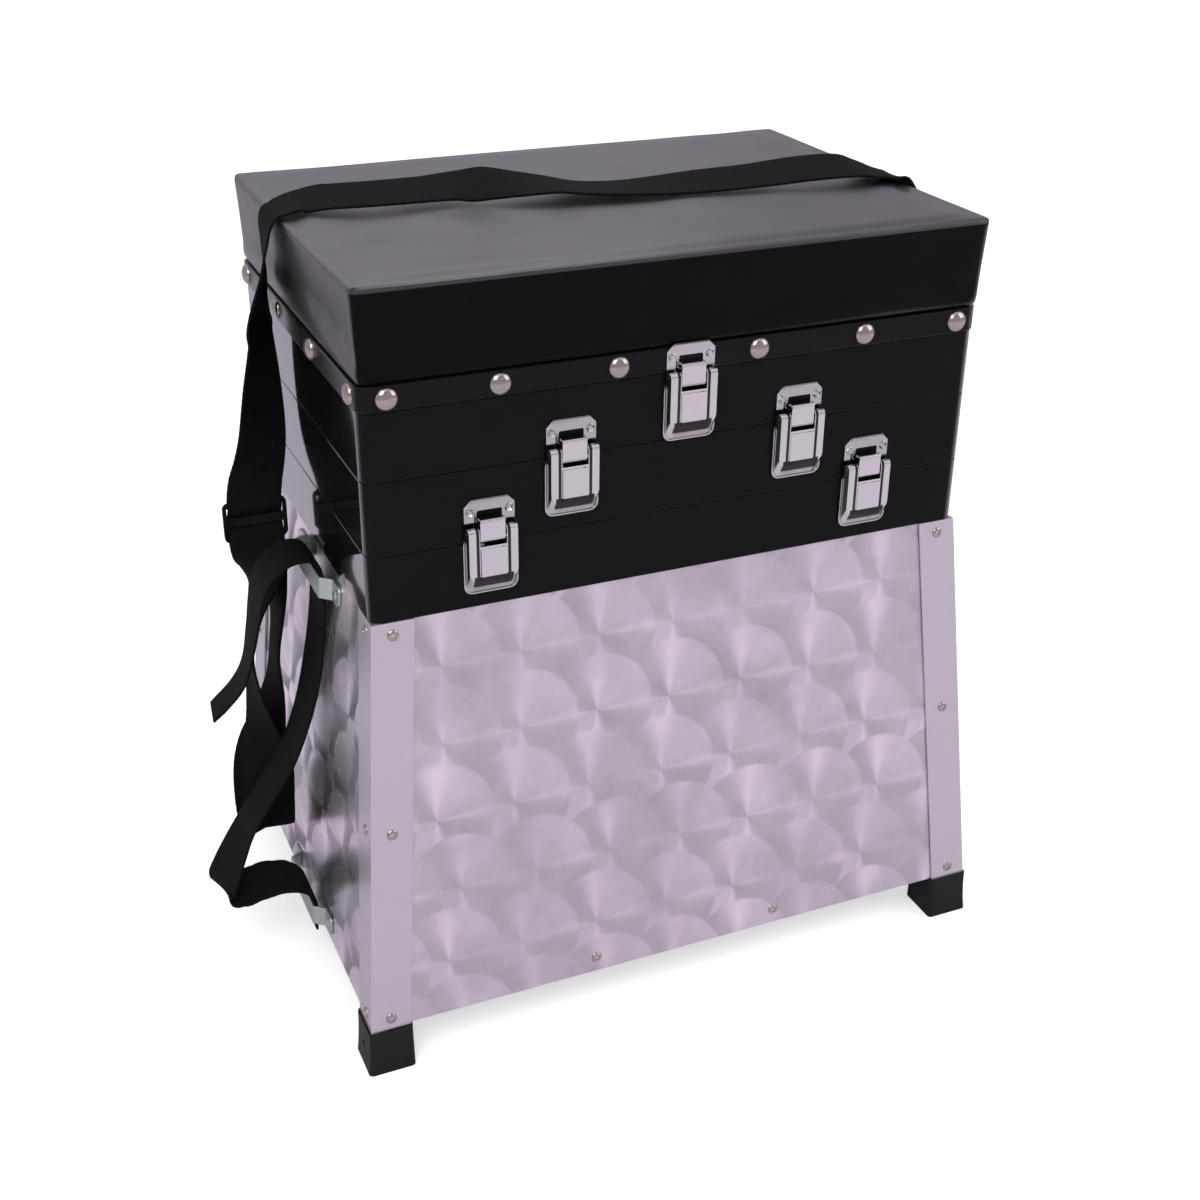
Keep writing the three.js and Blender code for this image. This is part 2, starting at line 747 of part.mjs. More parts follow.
function latchHook() {
  const front = axleOut + hookBarrel;
  const inner = front - sheet;
  const claw = hookTop - hookBar;
  const rollOut = front - hookRoll / 2;
  const rollZ = hookTop - hookRoll;
  const joinAngle = Math.acos((inner - axleOut) / hookBarrel);
  const shape = new THREE.Shape();
  shape.moveTo(front, -hookPivotDrop).lineTo(front, rollZ - hookRoll * Math.sin(Math.PI / 3));
  shape.absarc(rollOut, rollZ, hookRoll, -Math.PI / 3, Math.PI / 2);
  shape.lineTo(clawOut + hookBar, hookTop);
  shape.absarc(clawOut + hookBar, claw, hookBar, Math.PI / 2, Math.PI);
  shape.lineTo(clawOut, claw - clawDip).lineTo(clawOut + sheet, claw - clawDip);
  shape.lineTo(clawOut + sheet, claw).lineTo(inner, claw);
  shape.absarc(axleOut, -hookPivotDrop, hookBarrel, joinAngle, Math.PI * 2);
  const bore = new THREE.Path();
  bore.absarc(axleOut, -hookPivotDrop, axleRadius + runningGap, 0, Math.PI * 2);
  shape.holes.push(bore);
  return drawnAcross(shape, -hookWidth / 2, hookWidth / 2);
}

function latchCatch(standOff) {
  const back = standOff + restGap;
  const face = back + sheet;
  const half = catchWidth / 2;
  const outline = new THREE.Shape();
  outline.moveTo(-half, catchBottom).lineTo(half, catchBottom).lineTo(half, catchTop - catchChamfer);
  outline.lineTo(half - catchChamfer, catchTop).lineTo(-half + catchChamfer, catchTop);
  outline.lineTo(-half, catchTop - catchChamfer).closePath();
  outline.holes.push(rectangle(-catchWindowHalf, catchWindowHalf, lipFoot + sheet + clawDip / 2,
    catchWindowTop, catchRollRadius));
  const lip = new THREE.Shape();
  lip.moveTo(back, lipFoot).lineTo(lipOut + sheet, lipFoot).lineTo(lipOut + sheet, lipTop);
  lip.lineTo(lipOut, lipTop).lineTo(lipOut, lipFoot + sheet).lineTo(back, lipFoot + sheet).closePath();
  const rivet = hollowRivet(latchRivetRadius, latchRivetProud, latchRivetHole);
  return join(
    platedOut(outline, back, face),
    drawnAcross(lip, -lipHalf, lipHalf),
    rod(catchRollRadius, -catchRollHalf, catchRollHalf, -back - catchRollRadius,
      catchTop - catchRollRadius, rivetFacets),
    ...[-latchRivetPlace, latchRivetPlace].map((x) => (
      turned(rivet, alongX, alongZ, new THREE.Vector3(x, -face, latchRivetHeight)))),
  );
}

function latchBasePlate() {
  const half = basePlateWidth / 2;
  const face = restGap + sheet;
  const outline = rectangle(-half, half, -basePlateBottom, -basePlateTop, basePlateCorner);
  const dish = rectangle(-half + sheet, half - sheet, -basePlateBottom + sheet,
    basePlateCorner, basePlateCorner - sheet);
  const ear = new THREE.Shape();
  ear.moveTo(restGap + sheet / 2, -earFoot).lineTo(axleOut + earRadius, -earRadius);
  ear.lineTo(axleOut + earRadius, 0).absarc(axleOut, 0, earRadius, 0, Math.PI);
  ear.lineTo(restGap + sheet / 2, -earHeel).closePath();
  const bore = new THREE.Path();
  bore.absarc(axleOut, 0, axleRadius + runningGap, 0, Math.PI * 2);
  ear.holes.push(bore);
  const rivet = domedRivet(baseRivetRadius, baseRivetHeight);
  return join(
    cut(platedOut(outline, restGap, basePlateRim + restGap), platedOut(dish, face, basePlateRim + cutOverrun)),
    drawnAcross(ear, -earOuter, -earOuter + earThickness),
    drawnAcross(ear, earOuter - earThickness, earOuter),
    ...baseRivetPlaces.map((drop) => (
      turned(rivet, alongX, alongZ, new THREE.Vector3(0, -face, -drop)))),
  );
}

// Strap bracket: a bar bent out of a flat strip, riveted at both ends

function strapBracket(side, z) {
  const end = bracketLength / 2;
  const rise = bracketProud - bracketThickness;
  const lift = restGap;
  const inner = [[-end, 0], [-bracketBarHalf - bracketRamp, 0], [-bracketBarHalf, rise],
    [bracketBarHalf, rise], [bracketBarHalf + bracketRamp, 0], [end, 0]];
  const outer = [[end, bracketThickness], [bracketBarHalf + bracketRamp + bracketThickness / 2, bracketThickness],
    [bracketBarHalf + bracketThickness / 2, bracketProud], [-bracketBarHalf - bracketThickness / 2, bracketProud],
    [-bracketBarHalf - bracketRamp - bracketThickness / 2, bracketThickness], [-end, bracketThickness]];
  const shape = new THREE.Shape([...inner, ...outer].map(([along, out]) => new THREE.Vector2(along, out)));
  const strip = raised(shape, -bracketHeight / 2, bracketHeight / 2);
  const standing = turned(strip, alongX, alongZ);
  const rivet = domedRivet(bracketRivetRadius, bracketRivetHeight);
  const rounded = common(
    standing,
    raised(rectangle(-end, end, -bracketHeight / 2, bracketHeight / 2, bracketHeight / 3),
      -cutOverrun, bracketProud + cutOverrun),
  );
  const heads = [-1, 1].map((way) => (
    rivet.clone().translate(way * (end - bracketRivetInset), 0, bracketThickness)));
  return onWall(join(rounded, ...heads), side, bracketY, z, panelOuter - lift);
}

// Webbing: a flat strip through stations of a centre and the direction of its width

function strip(stations) {
  const centres = new THREE.CatmullRomCurve3(stations.map((station) => station.at), false, 'centripetal');
  const widths = new THREE.CatmullRomCurve3(stations.map((station) => station.across), false, 'catmullrom');
  const last = stations.length - 1;
  const rings = [];
  for (let i = 0; i <= last * strapSteps; i += 1) {
    const share = i / (last * strapSteps);
    const centre = centres.getPoint(share);
    const tangent = centres.getTangent(share);
    const across = widths.getPoint(share);
    across.addScaledVector(tangent, -across.dot(tangent)).normalize();
    const face = new THREE.Vector3().crossVectors(tangent, across);
    rings.push([[1, 1], [-1, 1], [-1, -1], [1, -1]].map(([w, t]) => centre.clone()
      .addScaledVector(across, w * strapWidth / 2)
      .addScaledVector(face, t * strapThickness / 2)));
  }
  return loft(rings, true);
}

function station(x, y, z, degrees) {
  const angle = degrees * Math.PI / 180;
  return {
    at: new THREE.Vector3(x, y, z),
    across: new THREE.Vector3(Math.cos(angle), Math.sin(angle), 0),
  };
}

function mirroredStation({ at, across }, shift) {
  return {
    at: new THREE.Vector3(-at.x, at.y + shift, at.z),
    across: new THREE.Vector3(-across.x, across.y, across.z),
  };
}

// Shoulder strap over the seat: X, its front edge's Y, its lift off the cushion, the rise of its rear edge
const seatRun = [
  [-205, 16.5, 1, 6], [-190, 10, 3, 8], [-158, 1, 4, 10], [-118, 3, 3, 11], [-96, 3, 2, 15],
  [-77, -4, 2.5, 18], [-56, -10, 4, 11], [-35, -15, 5, 4], [-15, -21, 4, 0], [3, -26, 3, 0],
  [22, -28, 2, 1], [42, -30, 1, 4], [77, -34, 1, 8], [118, -37, 2, 9], [157, -41, 4, 11],
  [190, -44, 5, 14], [207, -48, 3, 13],
];

// Its fall over the left end, down to the lid's lower edge: X, Y, Z, turn of its width from X
const leftFall = [
  [-221, 34, 574, 90], [-228, 33.5, 571, 89], [-231.3, 32.5, 564.5, 87], [-234, 30.5, 553, 78],
  [-237, 27.5, 541, 66], [-242, 25, 527, 53], [-247, 23, 513, 39], [-250, 21.5, 502, 31],
  [-250, 21.5, 497, 29], [-250, 21.5, 492.4, 28.6],
];

// The free loop below it, down to the slider, then on from the slider round its lower bend and up
const loopAbove = [
  [-250, 21.5, 491.6, 28.6], [-250, 21.5, 486, 28], [-250, 21.3, 455, 24], [-249.6, 21, 418, 20], [-252.5, 22.6, 398, 12],
  [-256.5, 24, 382, 3],
];
const loopBelow = [
  [-258.5, 24.5, 324, -18], [-258.5, 24.5, 310, -50], [-261, 24.5, 294, -80], [-266, 24, 277, -92],
  [-272, 26, 247, -95], [-271, 26.5, 209, -84], [-268.5, 25, 177, -64], [-268, 23, 155, -35],
  [-268, 21, 135, -8], [-269.5, 18, 115, 0], [-271, 16, 97, 0], [-271.7, 16, 91.5, 0],
  [-273, 18.7, 88.4, 0], [-274.3, 21.5, 91.5, 0], [-275, 22.5, 98, 0], [-275.5, 25, 113, 0],
  [-273.5, 29, 137, -8], [-268.5, 32, 157, -35], [-262, 33, 175, -62], [-254, 34, 206, -84],
  [-251.5, 34, 240, -94], [-248, 34, 268, -90], [-249, 33, 290, -75], [-254, 32, 308, -45],
  [-257, 32, 322, -15],
];

// Side strap from the lower bracket up through the upper one: X, Y, Z, sideways lean of its width
const sideRun = [
  [-255.7, -35, 34, 0], [-255.2, -35, 44, 0], [-254.7, -35, 53, 0], [-254.6, -35, 59, 0],
  [-256.8, -35, 65, 0], [-263, -34, 70.5, 0], [-273, -31, 72.5, 0], [-286, -24, 68.5, -0.03], [-299, -15, 61, -0.14],
  [-310, -11, 57.5, -0.28], [-316.5, -10, 59.5, -0.33], [-317.5, -10, 65.5, -0.32],
  [-313, -10, 76.5, -0.28], [-304, -10, 96, -0.14], [-293, -10, 117, 0], [-276, -11, 143, 0.02],
  [-259, -13, 171, 0.02], [-246.5, -17, 205, 0], [-237.5, -22, 243, -0.04],
  [-232.3, -29, 283, -0.02], [-230.8, -34, 310, 0], [-230.9, -35, 325, 0], [-231, -35, 336, 0],
  [-233, -35, 344.5, 0], [-239.5, -35, 349.5, 0], [-248.5, -34, 349.5, 0], [-258, -32, 344.5, 0],
  [-267, -29, 334, 0], [-272.3, -26, 320, 0], [-274.8, -22, 304, 0.03], [-278.3, -18, 281, 0.08],
  [-285, -14, 251, 0.16], [-295.4, -10, 232.5, 0.25], [-310.5, -10, 219, 0.32],
];

function seatStrap() {
  const top = cushionTop + restGap;
  const onTop = seatRun.map(([x, frontY, lift, tilt]) => {
    const angle = tilt * Math.PI / 180;
    const across = new THREE.Vector3(0, Math.cos(angle), Math.sin(angle));
    const at = new THREE.Vector3(x, frontY, top + strapThickness / 2 + lift)
      .addScaledVector(across, strapWidth / 2);
    return { at, across };
  });
  const left = leftFall.map((row) => station(...row));
  const right = left.map((row) => mirroredStation(row, rightLoopShift));
  return strip([...left.reverse(), ...onTop, ...right]);
}

// Over the slider's upper bar, behind its middle bar and over its lower bar
function throughSlider() {
  const { x, y, z } = sliderPlace;
  const tall = sliderHeight / 2;
  const slotOuter = tall - sliderEndBar;
  const slotInner = sliderMiddleBar / 2;
  const slotMiddle = (slotOuter + slotInner) / 2;
  const halfBar = sliderEndBar / 2;
  const upper = [
    [tall + halfBar, -strapOffSlider], [tall, -strapOffSlider], [slotOuter + halfBar, -strapOffSlider],
    [slotOuter, -strapOffSlider], [slotMiddle, 0], [slotInner, strapOffSlider],
  ];
  const lower = upper.map(([drop, out]) => [-drop, out]).reverse();
  return [...upper, [0, strapOffSlider], ...lower].map(([drop, out]) => (
    station(x, y + out, z + drop, 0)));
}

// The strap's end, sewn back behind the slider's middle bar
function loopEnd() {
  const { x, y, z } = sliderPlace;
  const behind = y + strapOffSlider + strapThickness + layerGap;
  return [-sliderHeight / 2, -sliderMiddleBar, sliderMiddleBar / 2]
    .map((drop) => station(x, behind, z + drop, 0));
}

function shoulderLoop(side) {
  const stations = [
    ...loopAbove.map((row) => station(...row)), ...throughSlider(),
    ...loopBelow.map((row) => station(...row)), ...loopEnd(),
  ];
  return strip(side < 0 ? stations : stations.map((row) => mirroredStation(row, rightLoopShift)));
}

function sideStrap(side) {
  const shift = side < 0 ? 0 : rightSideStrapShift;
  return strip(sideRun.map(([x, y, z, lean]) => ({
    at: new THREE.Vector3(-side * x, y + shift, z),
    across: new THREE.Vector3(-side * lean, 1, 0),
  })));
}

function strapSlider(side) {
  const half = sliderWidth / 2;
  const tall = sliderHeight / 2;
  const shape = rectangle(-half, half, -tall, tall, sliderCorner);
  const slotHalf = half - sliderSide;
  const innerEdge = sliderMiddleBar / 2;
  const outerEdge = tall - sliderEndBar;
  shape.holes.push(rectangle(-slotHalf, slotHalf, innerEdge, outerEdge));
  shape.holes.push(rectangle(-slotHalf, slotHalf, -outerEdge, -innerEdge));
  const plate = platedOut(shape, -sliderThickness / 2, sliderThickness / 2);
  const shift = side < 0 ? 0 : rightLoopShift;
  return plate.translate(-side * sliderPlace.x, sliderPlace.y + shift, sliderPlace.z);
}

// Assembly

const seatBox = new THREE.Group();
const base = new THREE.Group();
const lowerTray = new THREE.Group();
const upperTray = new THREE.Group();
const lid = new THREE.Group();
seatBox.add(base, lowerTray, upperTray, lid);

const corners = { front_left: [-1, -1], front_right: [1, -1], rear_left: [-1, 1], rear_right: [1, 1] };
Object.entries(corners).forEach(([name, [cornerX, cornerY]]) => {
  piece(base, `corner_angle_${name}`, cornerAngle(cornerX, cornerY), plainAluminium);
  piece(base, `foot_${name}`, rubberFoot(cornerX, cornerY), blackRubber);
});
Object.keys(sideNames).forEach((side) => {
  piece(base, `${side}_panel`, bodyPanel(side), swirledAluminium);
});
piece(base, 'floor_pan', floorPan(), plainAluminium);
piece(base, 'base_section', baseSection(), blackGloss);
piece(lowerTray, 'lower_tray', tray(baseSectionTop, lowerTrayTop), blackGloss);
piece(upperTray, 'upper_tray', tray(lowerTrayTop, upperTrayTop), blackGloss);
piece(lid, 'lid_board', lidBoard(), blackPlastic);
piece(lid, 'edging_band', edgingBand(), blackPlastic);
piece(lid, 'seat_cushion', cushion(), leatherette);

const rearFace = boxDepth / 2;
const hinges = [
  ['lower_hinge', baseSectionTop, base, lowerTray, rearFace],
  ['middle_hinge', lowerTrayTop, lowerTray, upperTray, rearFace],
  ['lid_hinge', upperTrayTop, upperTray, lid, rearFace + lidOverhang],
];
hinges.forEach(([name, axisZ, below, above, aboveFace]) => {
  piece(below, `${name}_fixed_leaf`, hingeLeaf(axisZ, rearFace, false, 0, true), zinc);
  piece(above, `${name}_moving_leaf`, hingeLeaf(axisZ, aboveFace, true, 1, false), zinc);
});

const latches = [
  ['lid_latch', 0, latchAxleHeights.lid, upperTray, lid, lidOverhang],
  ['upper_latch_left', -upperLatchSpacing / 2, latchAxleHeights.upper, lowerTray, upperTray, 0],
  ['upper_latch_right', upperLatchSpacing / 2, latchAxleHeights.upper, lowerTray, upperTray, 0],
  ['lower_latch_left', -lowerLatchSpacing / 2, latchAxleHeights.lower, base, lowerTray, 0],
  ['lower_latch_right', lowerLatchSpacing / 2, latchAxleHeights.lower, base, lowerTray, 0],
];
latches.forEach(([name, x, z, below, above, standOff]) => {
  const front = -boxDepth / 2;
  const place = (mesh) => mesh.position.set(x, front, z);
  place(piece(above, `${name}_catch`, latchCatch(standOff), chrome));
  place(piece(below, `${name}_base_plate`, latchBasePlate(), chrome));
  place(piece(below, `${name}_lever`, latchLever(), chrome));
  place(piece(below, `${name}_hook`, latchHook(), chrome));
});

Object.entries({ left: -1, right: 1 }).forEach(([name, side]) => {
  piece(base, `upper_bracket_${name}`, strapBracket(name, bracketHeights.upper), nickel);
  piece(base, `lower_bracket_${name}`, strapBracket(name, bracketHeights.lower), zinc);
  piece(base, `shoulder_loop_${name}`, shoulderLoop(side), webbing);
  piece(base, `side_strap_${name}`, sideStrap(side), webbing);
  piece(base, `slider_${name}`, strapSlider(side), blackPlastic);
});
piece(lid, 'seat_strap', seatStrap(), webbing);

export default seatBox;
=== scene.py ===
"""Dress the fishing seat box: engine-turned body, black stack, toggle latches, cushion and webbing."""
import json
import logging
import math
from dataclasses import dataclass
from enum import Enum
from typing import Any, Callable, Iterable, Sequence

import bmesh
import bpy
from mathutils import Matrix, Vector, noise

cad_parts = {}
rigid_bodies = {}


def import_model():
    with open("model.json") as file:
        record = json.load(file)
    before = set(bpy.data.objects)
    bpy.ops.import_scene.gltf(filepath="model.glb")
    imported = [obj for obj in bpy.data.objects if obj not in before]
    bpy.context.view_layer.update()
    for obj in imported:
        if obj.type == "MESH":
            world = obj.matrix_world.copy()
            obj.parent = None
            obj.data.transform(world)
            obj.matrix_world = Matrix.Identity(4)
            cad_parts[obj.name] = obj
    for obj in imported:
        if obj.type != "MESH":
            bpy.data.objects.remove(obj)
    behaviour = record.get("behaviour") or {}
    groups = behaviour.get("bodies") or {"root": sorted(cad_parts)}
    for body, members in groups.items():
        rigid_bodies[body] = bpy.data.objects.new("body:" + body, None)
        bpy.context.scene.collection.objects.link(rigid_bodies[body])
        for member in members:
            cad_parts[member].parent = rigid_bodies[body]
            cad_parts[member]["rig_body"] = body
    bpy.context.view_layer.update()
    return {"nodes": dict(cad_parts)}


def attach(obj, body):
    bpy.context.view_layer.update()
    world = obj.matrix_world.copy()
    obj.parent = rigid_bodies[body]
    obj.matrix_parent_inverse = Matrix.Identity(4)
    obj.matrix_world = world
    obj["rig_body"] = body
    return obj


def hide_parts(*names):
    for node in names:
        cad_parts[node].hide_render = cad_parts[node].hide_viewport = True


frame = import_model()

log = logging.getLogger("seat_box")

MM = 0.001
TO_MM = 1 / MM
WELD = 0.004 * MM
SIDES = (-1, 1)
CORNERS = ("front_left", "front_right", "rear_left", "rear_right")
STUDIO_TINT = (1.0, 0.90, 1.06)
WHITE = (1.0, 1.0, 1.0, 1.0)

Pair = tuple[float, float]
Triple = tuple[float, float, float]
Colour = tuple[float, float, float, float]
Shape = bmesh.types.BMesh


def by_node(operation: str, swapped: bool = False) -> Callable[[Any, Any], "Signal"]:
    """Make an operator that adds a Math node.

    Args:
        operation: the Math node's operation.
        swapped: whether the other value comes first.

    Returns:
        The operator, as a method of Signal.
    """
    def operator(self: "Signal", other: Any) -> "Signal":
        """The node's result."""
        return self.maths(operation, *((other, self) if swapped else (self, other)))

    return operator


class Signal:
    """A number, colour or vector that flows between shader nodes, with Python's operators."""

    def __init__(self, board: "NodeBoard", socket: bpy.types.NodeSocket) -> None:
        """Wrap an output socket of a node on the board."""
        self.board = board
        self.socket = socket

    def maths(self, operation: str, *values: Any, clamp: bool = False) -> "Signal":
        """Add one Math node.

        Args:
            operation: the Math node's operation.
            values: signals or numbers for its inputs.
            clamp: whether the result is held between 0 and 1.

        Returns:
            The node's result.
        """
        return self.board.node("ShaderNodeMath", {"operation": operation, "use_clamp": clamp}, values)

    __add__ = __radd__ = by_node("ADD")
    __mul__ = __rmul__ = by_node("MULTIPLY")
    __sub__, __rsub__ = by_node("SUBTRACT"), by_node("SUBTRACT", swapped=True)
    __truediv__, __rtruediv__ = by_node("DIVIDE"), by_node("DIVIDE", swapped=True)
    __pow__, __rpow__ = by_node("POWER"), by_node("POWER", swapped=True)

    def __abs__(self) -> "Signal":
        """The size without its sign."""
        return self.maths("ABSOLUTE", self)

    def sine(self) -> "Signal":
        """The sine of an angle in radians."""
        return self.maths("SINE", self)

    def fraction(self) -> "Signal":
        """What is left above the whole number below."""
        return self.maths("FRACT", self)

    def held(self) -> "Signal":
        """The same, held between 0 and 1."""
        return self.maths("ADD", self, 0.0, clamp=True)

    def where(self, mask: "Signal", other: "Signal") -> "Signal":
        """Give other where the mask is 1, and self where it is 0."""
        return self + (other - self) * mask

    def ease(self, low: float, high: float) -> "Signal":
        """Rise smoothly from 0 at low to 1 at high."""
        return self.board.node("ShaderNodeMapRange", {"interpolation_type": "SMOOTHSTEP"},
                               {"Value": self, "From Min": low, "From Max": high})

    def band(self, rise: Pair, fall: Pair) -> "Signal":
        """1 between two soft edges, and 0 outside them."""
        return self.ease(*rise) * (1.0 - self.ease(*fall))


class NodeBoard:
    """A material's or the world's node tree, with one way to add any node."""

    def __init__(self, tree: bpy.types.NodeTree) -> None:
        """Work on this tree."""
        self.tree = tree

    def node(self, kind: str, settings: dict[str, Any] | None = None,
             inputs: dict[Any, Any] | Sequence[Any] = (), output: int | str = 0) -> Signal:
        """Add a node.

        Args:
            kind: the node's type.
            settings: its properties, set first; "stops" are a ramp's positions and colours.
            inputs: values or signals for its sockets, in order or by name.
            output: which result is wanted.

        Returns:
            The chosen result.
        """
        made = self.tree.nodes.new(kind)
        for name, value in (settings or {}).items():
            if name == "stops":
                # A new ramp has two stops already.
                stops = made.color_ramp.elements
                for index, (place, colour) in enumerate(value):
                    stop = stops[index] if index < 2 else stops.new(place)
                    stop.position, stop.color = place, colour
            else:
                setattr(made, name, value)
        pairs = inputs.items() if isinstance(inputs, dict) else enumerate(inputs)
        for key, value in pairs:
            self.plug(value, made.inputs[key])
        return Signal(self, made.outputs[output] if len(made.outputs) else None)

    def plug(self, value: Any, socket: bpy.types.NodeSocket) -> None:
        """Link a signal to a socket, or set a plain value on it.

        Args:
            value: the signal or the value.
            socket: the input that takes it.
        """
        if isinstance(value, Signal):
            self.tree.links.new(value.socket, socket)
        else:
            socket.default_value = value

    def place(self) -> Signal:
        """Where the point is on the object, in metres."""
        return self.node("ShaderNodeTexCoord", output="Object")

    def parts(self, vector: Signal) -> tuple[Signal, Signal, Signal]:
        """Take a vector apart into x, y and z."""
        split = self.node("ShaderNodeSeparateXYZ", inputs=[vector])
        return tuple(Signal(self, output) for output in split.socket.node.outputs)

    def mix(self, factor: Any, first: Any, second: Any) -> Signal:
        """Blend two colours: the first at 0, the second at 1."""
        return self.node("ShaderNodeMix", {"data_type": "RGBA"}, {0: factor, 6: first, 7: second}, 2)

    def grain(self, scale: float, detail: float = 2.0, rough: float = 0.5,
              at: Signal | None = None) -> Signal:
        """Give soft noise around 0.5.

        Args:
            scale: waves in a metre.
            detail: octaves.
            rough: how strong the finer octaves are.
            at: the coordinates, or the object's own.

        Returns:
            The noise's value.
        """
        return self.node("ShaderNodeTexNoise", inputs={
            "Vector": at or self.place(), "Scale": scale, "Detail": detail, "Roughness": rough})

    def bump(self, height: Signal, depth: float, strength: float = 1.0) -> Signal:
        """Turn a height from 0 to 1 into a normal, where 1 stands depth metres high."""
        return self.node("ShaderNodeBump", inputs={"Height": height, "Distance": depth, "Strength": strength})


def lilac(value: float) -> Colour:
    """The cool pink-grey of the photograph's studio, as bright as a grey."""
    return (*(value * tint for tint in STUDIO_TINT), 1.0)


def grey(value: float) -> Colour:
    """A neutral colour."""
    return value, value, value, 1.0


def blank_material(title: str) -> tuple[bpy.types.Material, NodeBoard, bpy.types.NodeInputs]:
    """Make a material with one plain shader.

    Args:
        title: the material's name.

    Returns:
        The material, the board of its nodes, and its shader's sockets.
    """
    made = bpy.data.materials.new(title)
    made.use_nodes = True
    shader = next(n for n in made.node_tree.nodes if n.type == "BSDF_PRINCIPLED")
    return made, NodeBoard(made.node_tree), shader.inputs


@dataclass(frozen=True)
class Finish:
    """A plain surface: its constants sit on the shader's own sockets."""

    name: str
    slot: str
    colour: Triple
    roughness: float = 0.4
    metallic: float = 0.0
    specular: float = 0.5
    glance: float = 0.0
    glance_roughness: float = 0.05
    glance_ior: float = 2.0
    glance_span: Pair = (0.30, 0.62)
    tones: Pair = (0.7, 1.5)

    def material(self) -> bpy.types.Material:
        """Make the material, or find the one that is there.

        Returns:
            The material.
        """
        title = f"{self.name}_finish"
        found = bpy.data.materials.get(title)
        if found:
            return found
        made, board, sockets = blank_material(title)
        constants = {"Base Color": (*self.colour, 1.0), "Roughness": self.roughness,
                     "Metallic": self.metallic, "Specular IOR Level": self.specular,
                     "Coat Roughness": self.glance_roughness, "Coat IOR": self.glance_ior}
        for socket, value in (*constants.items(), *self.pattern(board).items()):
            board.plug(value, sockets[socket])
        if self.glance:
            slant = board.node("ShaderNodeLayerWeight", inputs={"Blend": 0.5}, output="Facing")
            shine = self.gloss(board, slant.ease(*self.glance_span)) * self.glance
            board.plug(shine, sockets["Coat Weight"])
        return made

    def gloss(self, board: NodeBoard, slant: Signal) -> Signal:
        """Where the coat shows, from 0 to 1, given how slanting the view is."""
        return slant

    def shade(self, factor: float) -> Colour:
        """The finish's colour, lighter or darker by a factor."""
        return tuple(min(1.0, c * factor) for c in self.colour) + (1.0,)

    def driven(self, board: NodeBoard, tone: Signal, rough: Signal, normal: Signal) -> dict[str, Signal]:
        """What a pattern drives: the colour between the two tones, the roughness and the bumps."""
        shades = [self.shade(factor) for factor in self.tones]
        return {"Base Color": board.mix(tone.held(), *shades), "Roughness": rough.held(), "Normal": normal}

    def pattern(self, board: NodeBoard) -> dict[str, Signal]:
        """What varies over the surface, by the shader's socket."""
        return {}


class Face(Enum):
    """Which way a panel faces, and so which axes its pattern runs along."""

    FRONT = (0, 2)
    SIDE = (1, 2)


@dataclass(frozen=True)
class EngineTurned(Finish):
    """Aluminium sheet polished in overlapping discs, each lapping over those right of and above it."""

    face: Face = Face.FRONT
    first: Pair = (-12 * MM, 22 * MM)
    pitch: float = 57 * MM
    reach: float = 0.78
    rim: float = 0.10
    blur: float = 0.06
    slip: float = 0.14
    slip_turn: float = 2.4
    wander: float = 0.10
    level: float = 0.60
    # Painted sheen: the next fields set the bow-tie swing and the upright and level glints painted into each
    # disc's colour, standing in for its brushed reflection.
    painted_sheen_swing: float = 0.062
    glint: float = 0.17
    side_glint: float = 0.6
    glint_focus: float = 12.0
    side_focus: float = 60.0
    rings: float = 190.0
    scuffed: float = 0.08
    clouded: float = 0.26
    patched: float = 0.16
    tones: Pair = (0.0, 1.0)

    def disc(self, u: Signal, v: Signal) -> tuple[Signal, Signal]:
        """Work out one disc.

        Args:
            u: how far a point is right of the disc's middle, in pitches.
            v: how far it is above it.

        Returns:
            The distance from the middle, and the painted sheen of the disc in that direction, which stands in
            for its brushed reflection.
        """
        square = u * u + v * v + 1e-4
        turn = u * v * 2.0 / square
        upright = (v * v / square) ** self.glint_focus
        level = (u * u / square) ** self.side_focus
        bright = turn * self.painted_sheen_swing + upright * self.glint + level * (self.glint * self.side_glint)
        return square ** 0.5, bright

    def pattern(self, board: NodeBoard) -> dict[str, Signal]:
        """Overlapping discs in tone, gloss and a faint swirl; each disc's tone is a painted sheen."""
        axes = board.parts(board.place())
        wander = (board.grain(9.0, 1.0) - 0.5) * self.wander
        u, v = ((axes[axis] - start) / self.pitch + wander
                for axis, start in zip(self.face.value, self.first))
        fv = v.fraction()
        tone, radius = None, None
        for du, dv in ((1, 1), (0, 1), (1, 0), (0, 0)):
            slip = ((v - fv + dv) * self.slip_turn).sine() * self.slip
            distance, bright = self.disc((u + slip).fraction() - du, fv - dv)
            inside = 1.0 - distance.ease(self.reach - self.blur, self.reach)
            tone = bright if tone is None else tone.where(inside, bright)
            radius = distance if radius is None else radius.where(inside, distance)
        rings = (radius * self.rings + board.grain(60.0) * 6.0).sine()
        rim = radius.ease(self.reach - self.rim, self.reach)
        scuff, cloud, patch = board.grain(260.0, 4.0, 0.7), board.grain(14.0, 3.0, 0.6), board.grain(42.0)
        # The painted sheen fades in and out across the sheet before the level and the real marks are added.
        sheen_fade = board.grain(15.0).ease(0.32, 0.68) + 0.35
        tone = tone * sheen_fade + self.level + rings * 0.008 - rim * 0.012
        for mark, weight in ((scuff, self.scuffed), (cloud, self.clouded), (patch, self.patched)):
            tone = tone + (mark - 0.5) * weight
        return self.driven(board, tone, scuff * 0.08 + rim * 0.04 + (self.roughness - 0.04),
                           board.bump(rings * 0.5 + scuff * 0.6, 0.01 * MM, 0.4))


